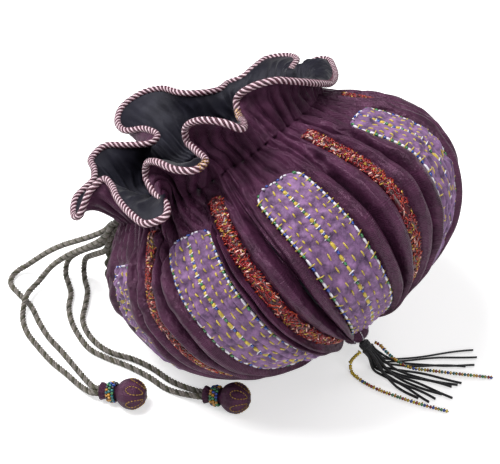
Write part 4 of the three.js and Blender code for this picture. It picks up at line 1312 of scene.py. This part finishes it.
@dataclass
class Frill:
    """The frill above the neck, silk outside and lining inside, and the twisted piping on its rim."""

    columns: int = 704
    rows: int = 24
    sewn_columns: int = 88
    spread: int = 7
    foot: float = -0.8
    rise: float = 17
    taper: float = 0.35
    cloth_end: float = 0.9
    pitch: float = 9.6
    ply_reach: float = 1.2
    # Radius of the pale and of the dark plies.
    ply_radii: tuple[float, float] = (0.82, 1.0)
    # Where the gold joins are, as shares of the rim.
    joins: tuple[float, float, float] = (0.105, 0.235, 0.9)
    centre: Array = field(init=False)
    rim: Array = field(init=False)
    angle: Array = field(init=False)
    length: Array = field(init=False)

    def build(self) -> None:
        """Makes the frill's two layers and the piping."""
        self.centre = POUCH.axis_point(POUCH.neck_height)
        points = np.array(RIM_POINTS)
        reach = POUCH.neck_radius + points[:, 1] / MM
        self.rim = smooth_curve(self.neck_point(points[:, 0] * DEG, reach, points[:, 2] / MM), True)
        surface, inward = self.surface()
        self.layer(surface, inward, "frill_silk_gathered", "frill_silk", SILK, -1.6, False)
        self.layer(surface, inward, "frill_lining_taffeta", "frill_lining", LINING, 0.6, True)
        self.bind()

    def neck_point(self, angle: Array, reach: Array, lift: Array) -> Array:
        """Places given by angle, reach from the axis and lift above the neck."""
        lift = np.asarray(lift, float)
        out = np.asarray(reach, float)[..., None] * POUCH.around(angle)
        return self.centre + lift[..., None] * POUCH.axis + out

    def sewn_angles(self) -> Array:
        """Angle at the neck that each column of the frill is sewn to.

        Returns:
            The angles, in radians.
        """
        count = self.sewn_columns
        places = evenly(self.rim, count + 1)[0][:-1] - self.centre
        top = POUCH.around(0.0)
        raw = np.unwrap(np.arctan2(places[:, 1], places @ top))
        turn = raw[0] + (2 * math.pi if raw[-1] > raw[0] else -2 * math.pi)
        step = turn - raw[0]
        wide = np.concatenate([raw - step, raw, raw + step, [raw[0] + 2 * step]])
        kernel = np.ones(2 * self.spread + 1) / (2 * self.spread + 1)
        averaged = np.convolve(wide, kernel, "same")
        at = np.arange(self.columns) / self.columns * count + count
        return np.interp(at, np.arange(len(wide)), averaged)

    def surface(self) -> tuple[Array, Array]:
        """The frill's middle surface, from the neck to the piping's seam.

        Returns:
            Rows of places, and the direction from silk to lining at each.
        """
        rim = evenly(self.rim, self.columns + 1)[0][:-1]
        angle = self.sewn_angles()
        reach = np.full(len(angle), float(POUCH.neck_radius))
        foot = self.neck_point(angle, reach, np.full(len(angle), self.foot))
        shoulder = foot + (rim - foot) * self.taper + POUCH.axis * self.rise
        dense = np.linspace(0, 1, 101)[:, None, None]
        curve = (1 - dense) ** 2 * foot + 2 * dense * (1 - dense) * shoulder + dense ** 2 * rim
        steps = np.linalg.norm(np.diff(curve, axis=0), axis=2)
        run = np.concatenate([np.zeros((1, self.columns)), np.cumsum(steps, 0)])
        marks = evenly(self.rim, 353)[0][:-1]
        rows = np.empty((self.rows, self.columns, 3))
        self.length = np.empty(self.columns)
        for i in range(self.columns):
            near = np.sqrt(((curve[:, i, None] - marks[None]) ** 2).sum(2).min(1)) < self.cloth_end
            free = len(near) - 1
            while free > 20 and near[free]:
                free -= 1
            self.length[i] = run[free, i]
        for _ in range(2):
            even = (np.roll(self.length, 1) + self.length + np.roll(self.length, -1)) / 3
            self.length = np.maximum(self.length, even)
        for i in range(self.columns):
            at = np.linspace(0, self.length[i], self.rows)
            rows[:, i] = np.stack([np.interp(at, run[:, i], curve[:, i, k]) for k in range(3)], 1)
        across = np.roll(rows, -1, 1) - np.roll(rows, 1, 1)
        inward = unit(np.cross(across, np.gradient(rows, axis=0)))
        for _ in range(6):
            inward = unit(np.roll(inward, 1, 1) + inward + np.roll(inward, -1, 1))
        self.angle = angle
        return rows, inward

    def layer(self, surface: Array, inward: Array, name: str, node: str, finish: Finish, offset: float,
              inner: bool) -> None:
        """Makes one layer of the frill.

        Args:
            surface: Rows of places on the middle surface.
            inward: Directions from silk to lining.
            name: The piece's name.
            node: The node it stands for.
            finish: Its finish.
            offset: Where its outer side lies from the middle surface.
            inner: Whether it is the lining.
        """
        share = np.linspace(0, 1, self.rows)[:, None]
        rise = share * self.length[None, :]
        tucks = POUCH.gather(self.angle[None, :] + 0 * share, rise) * (1 - 0.85 * smooth(9, 34, rise))
        turn = np.arange(self.columns)[None, :] / self.columns
        soft = 1.6 * uneven(turn * LATTICE, rise / 14, 51) * (1 - share ** 6)
        if inner:
            tucks = tucks * 0.5
            offset = offset + 4.7 * (1 - smooth(0, 9, rise))
        close = 1 - 0.75 * smooth(0.72, 1, share)
        side = (offset - tucks * 0.9 + soft * 0.5) * close
        thick = (0.8 if inner else 1.0) * close
        near, far = surface + inward * side[..., None], surface + inward * (side + thick)[..., None]
        rings = np.concatenate([near, far[::-1]])
        cut = Cut()
        across = np.linspace(0, 0.83, self.columns + 1)[None, :]
        along = np.concatenate([share, share[::-1]]) * 0.045
        closed = np.concatenate([rings, rings[:1]])
        cut.grid(closed, across, np.concatenate([along, along[:1]]), flip=True)
        piece = cut.make(name, [finish], node)
        self.weld(piece.data)

    def weld(self, mesh: bpy.types.Mesh) -> None:
        """Joins the first and last rows of a closed skin.

        Args:
            mesh: The skin.
        """
        cloth = bmesh.new()
        cloth.from_mesh(mesh)
        bmesh.ops.remove_doubles(cloth, verts=cloth.verts, dist=1e-6)
        cloth.to_mesh(mesh)
        cloth.free()

    def bind(self) -> None:
        """Binds the rim with twisted piping, pale pink and burgundy, with gold at the joins."""
        path = evenly(self.rim, 1180)[0][:-1]
        cut = Cut()
        for number, ply in enumerate(plies(path, self.ply_reach, self.pitch, 6)):
            cut.strand(ply, self.ply_radii[number % 2], 6, number % 2)
        cut.make("rim_piping_twisted", [PIPING_PALE, PIPING_DARK], "rim_piping")
        joins = Cut()
        for share in self.joins:
            start = int(share * len(path))
            for ply in plies(path[start:start + 14], 1.5, 3.4, 3):
                joins.strand(ply, 0.8, 6)
        joins.make("rim_joins_gold", [GOLD_THREAD])


@dataclass
class Tassel:
    """The base tassel: a gold ring, a stitched silk ball, a knot, its strands and two bead strings."""

    ball: float = 8.5
    half: float = 6
    ring: float = 3.5
    thread: float = 0.9
    head: float = 6.6
    head_heading: float = 20
    head_pitch: float = 50
    spacing: float = 1.75
    knee: float = 4
    strand: float = 0.65
    string: float = 1.1
    # Half width of a flat strand, and how flat it is.
    flat: float = 0.95
    squash: float = 0.6
    # Radius and half length of a bead in line, and of one that stands off to the side.
    bead: tuple[float, float] = (1.08, 0.72)
    side_bead: tuple[float, float] = (0.62, 0.5)
    bead_spacing: float = 1.7
    bead_thread: float = 0.34
    down: Array = field(init=False)
    base: Array = field(init=False)
    ball_height: float = field(init=False)
    head_start: Array = field(init=False)
    ahead: Array = field(init=False)

    def build(self) -> None:
        """Makes every piece of the tassel."""
        self.down = -POUCH.axis
        self.base = POUCH.point(np.array(-1.0), 0.0)
        sink = math.sqrt(1 - (self.ring / (self.ball + self.thread)) ** 2)
        self.ball_height = 1.2 + (self.half + self.thread + 0.3) * sink + 0.3
        self.head_start = self.base + self.down * (self.ball_height + self.half + 0.3)
        self.ahead = heading(self.head_heading, -self.head_pitch)
        self.gold_ring()
        self.silk_ball()
        self.knot()
        self.strands()
        for name, points in BEAD_ROUTES.items():
            self.bead_string(name, np.array(points) / MM)

    def gold_ring(self) -> None:
        """Twists the gold ring between the base and the ball."""
        turn = np.linspace(0, 2 * math.pi, 73)[:-1]
        path = self.base + self.down * 1.2 + self.ring * around(SIDEWAYS, np.cross(self.down, SIDEWAYS), turn)
        cut = Cut()
        for ply in plies(path, 0.42, 3.1, 2):
            cut.strand(ply, 0.5, 6)
        cut.make("base_ring_gold", [GOLD_THREAD], "base_ring")

    def silk_ball(self) -> None:
        """Makes the flattened silk ball with lobes and white stitched seams."""
        side, top = SIDEWAYS, np.cross(self.down, SIDEWAYS)
        centre = self.base + self.down * self.ball_height
        turn = np.arange(80) * 2 * math.pi / 80
        tilt = np.linspace(4, 176, 30) * DEG
        lobes = 1 - 0.05 * np.abs(np.cos(4 * turn)) ** 6
        reach = self.ball * np.sin(tilt)[:, None] * lobes[None]
        rings = centre - self.down * (self.half * np.cos(tilt))[:, None, None] \
            + reach[..., None] * around(side, top, turn)
        cut = Cut()
        cut.loft(rings[:, ::-1], np.linspace(0, 0.05, 81)[None, :], np.linspace(0, 0.02, 30)[:, None])
        ball = cut.make("base_ball_silk", [SILK], "base_ball")
        seams = Cut()
        for seam in range(8):
            angle = seam * math.pi / 4 + math.pi / 8
            for step in range(9):
                ends = np.linspace(20 + 15.5 * step, 20 + 15.5 * step + 9.5, 3) * DEG
                out = around(side, top, angle)
                path = centre - self.down * (self.half * np.cos(ends))[:, None] * 1.02 \
                    + out * (self.ball * 1.0 * np.sin(ends))[:, None]
                seams.strand(path, 0.28, 5)
        seams.make("base_ball_seams", [THREAD_WHITE])

    def knot(self) -> None:
        """Winds the black knot that heads the tassel."""
        share = np.linspace(0, 1, 20)
        radius = np.interp(share, [0, 0.08, 0.32, 0.5, 0.65, 1], [1.4, 2.1, 3.0, 3.0, 2.5, 4.0])
        radius = radius * (1 - 0.05 * np.cos(share * 40))
        path = self.head_start + self.ahead * (share * self.head)[:, None]
        cut = Cut()
        cut.strand(path, radius, 28)
        ring = np.linspace(0, 2 * math.pi, 30)
        one, other = frames(path)
        for turn in range(3):
            at = path[0] + self.ahead * (2.2 + 0.9 * turn)
            wind = at + 3.05 * around(one[0], other[0], ring)
            cut.strand(wind, 0.42, 6)
        cut.make("tassel_knot_wound", [THREAD_BLACK], "tassel_head")

    def strands(self) -> None:
        """Makes the flat black strands that fan out over the floor."""
        side = np.array([-math.sin(self.head_heading * DEG), math.cos(self.head_heading * DEG), 0])
        over = -np.cross(side, self.ahead)
        for number, (turn, reach, row, place) in enumerate(STRANDS, 1):
            start = self.head_start + self.ahead * (self.head + 0.3)
            start = start + side * place * self.spacing + over * row * self.spacing
            away = heading(turn, 0)
            ground = np.array([self.head_start[0], self.head_start[1], 0])
            landing, rest = 15 + 5 * row, self.strand + 0.35
            lay = [(landing, 2.6 + row), (landing + 2 * self.knee, rest), (reach * 0.7, rest), (reach, rest)]
            points = [start, start + self.ahead * self.knee]
            points += [ground + away * far + [0, 0, up] for far, up in lay]
            path = evenly(smooth_curve(np.array(points)), 90)[0]
            # Each strand sways its own way towards its tip, so the fan isn't regular.
            share = np.linspace(0, 1, len(path))[:, None]
            sway = 1.1 * np.sin(2.1 * math.pi * share + 2.1 * number) + 1.2 * share * math.sin(3.7 * number)
            path = path + side * sway * smooth(0.3, 0.75, share)
            path, length = evenly(path, 90)
            cut = Cut()
            cut.strand(path, self.flat, 8, squash=self.squash)
            node = f"tassel_strand_{number:02d}"
            strand = cut.make(f"tassel_thread_{number:02d}", [THREAD_BLACK], node)

    def bead_string(self, name: str, points: Array) -> None:
        """Threads one string of seed beads.

        Args:
            name: "1" starts yellow; "2" is mixed all along.
            points: Its route.
        """
        path, length = evenly(smooth_curve(points), 200)
        cut = Cut()
        cut.strand(path, self.bead_thread, 6, 6)
        finishes = [BEAD_TEAL, BEAD_BLUE, BEAD_AMBER, BEAD_RED, BEAD_GREEN, BEAD_YELLOW, THREAD_BLACK]
        pick = np.random.default_rng(90 + int(name))
        count = int(length / self.bead_spacing)
        ahead = unit(np.gradient(path, axis=0))
        one, other = frames(path)
        for step in range(count):
            share = (step + 0.5) / count
            at = int(share * (len(path) - 1))
            kind = 5 if name == "1" and share < 0.32 else int(pick.integers(6))
            cut.bead(path[at], ahead[at], *self.bead, kind)
            if step % 2 == 0 and path[at][2] > 1.0:
                spin = pick.uniform(0, math.pi)
                out = one[at] * math.cos(spin) + other[at] * abs(math.sin(spin))
                out[2] = abs(out[2])
                cut.bead(path[at] + out, ahead[at], *self.side_bead, 2 if pick.random() < 0.6 else 5)
        string = cut.make(f"bead_string_threaded_{name}", finishes, f"bead_string_{name}")


@dataclass
class NeckCords:
    """The drawcords inside their casing round the neck, hidden between silk and lining."""

    drops: tuple[float, float] = (-2.4, -7.4)
    sag: float = 1.5
    # How far under the pouch's shape a cord's surface lies before it sags, and the cord's radius.
    depth: float = 1.3
    radius: float = 1.85
    ply_reach: float = 0.92
    ply: float = 0.9
    pitch: float = 5.6

    def build(self) -> None:
        """Twists both closed rings of cord."""
        turn = np.linspace(0, 2 * math.pi, 201)[:-1]
        for number, drop in enumerate(self.drops, 1):
            path = POUCH.point(1 + drop / POUCH.upper_height, turn, -(self.depth + self.radius + self.sag), 0)
            cut = Cut()
            for ply in plies(path, self.ply_reach, self.pitch, 3):
                cut.strand(ply, self.ply, 5)
            cut.make(f"neck_cord_twisted_{number}", [CORD_GREY], f"neck_cord_{number}")


def main() -> None:
    """Builds the scene: the camera and cords first, then the pouch, its frill and its tassel."""
    cords = Cords()
    for part in (Studio(), cords, NeckCords(), Body(), Frill(), Tassel()):
        part.build()
        log.info("%s is made", type(part).__name__)
    cords.stoppers()
    log.info("the stopper balls are made")


if __name__ == "__main__":
    logging.basicConfig(level=logging.INFO)
    main()
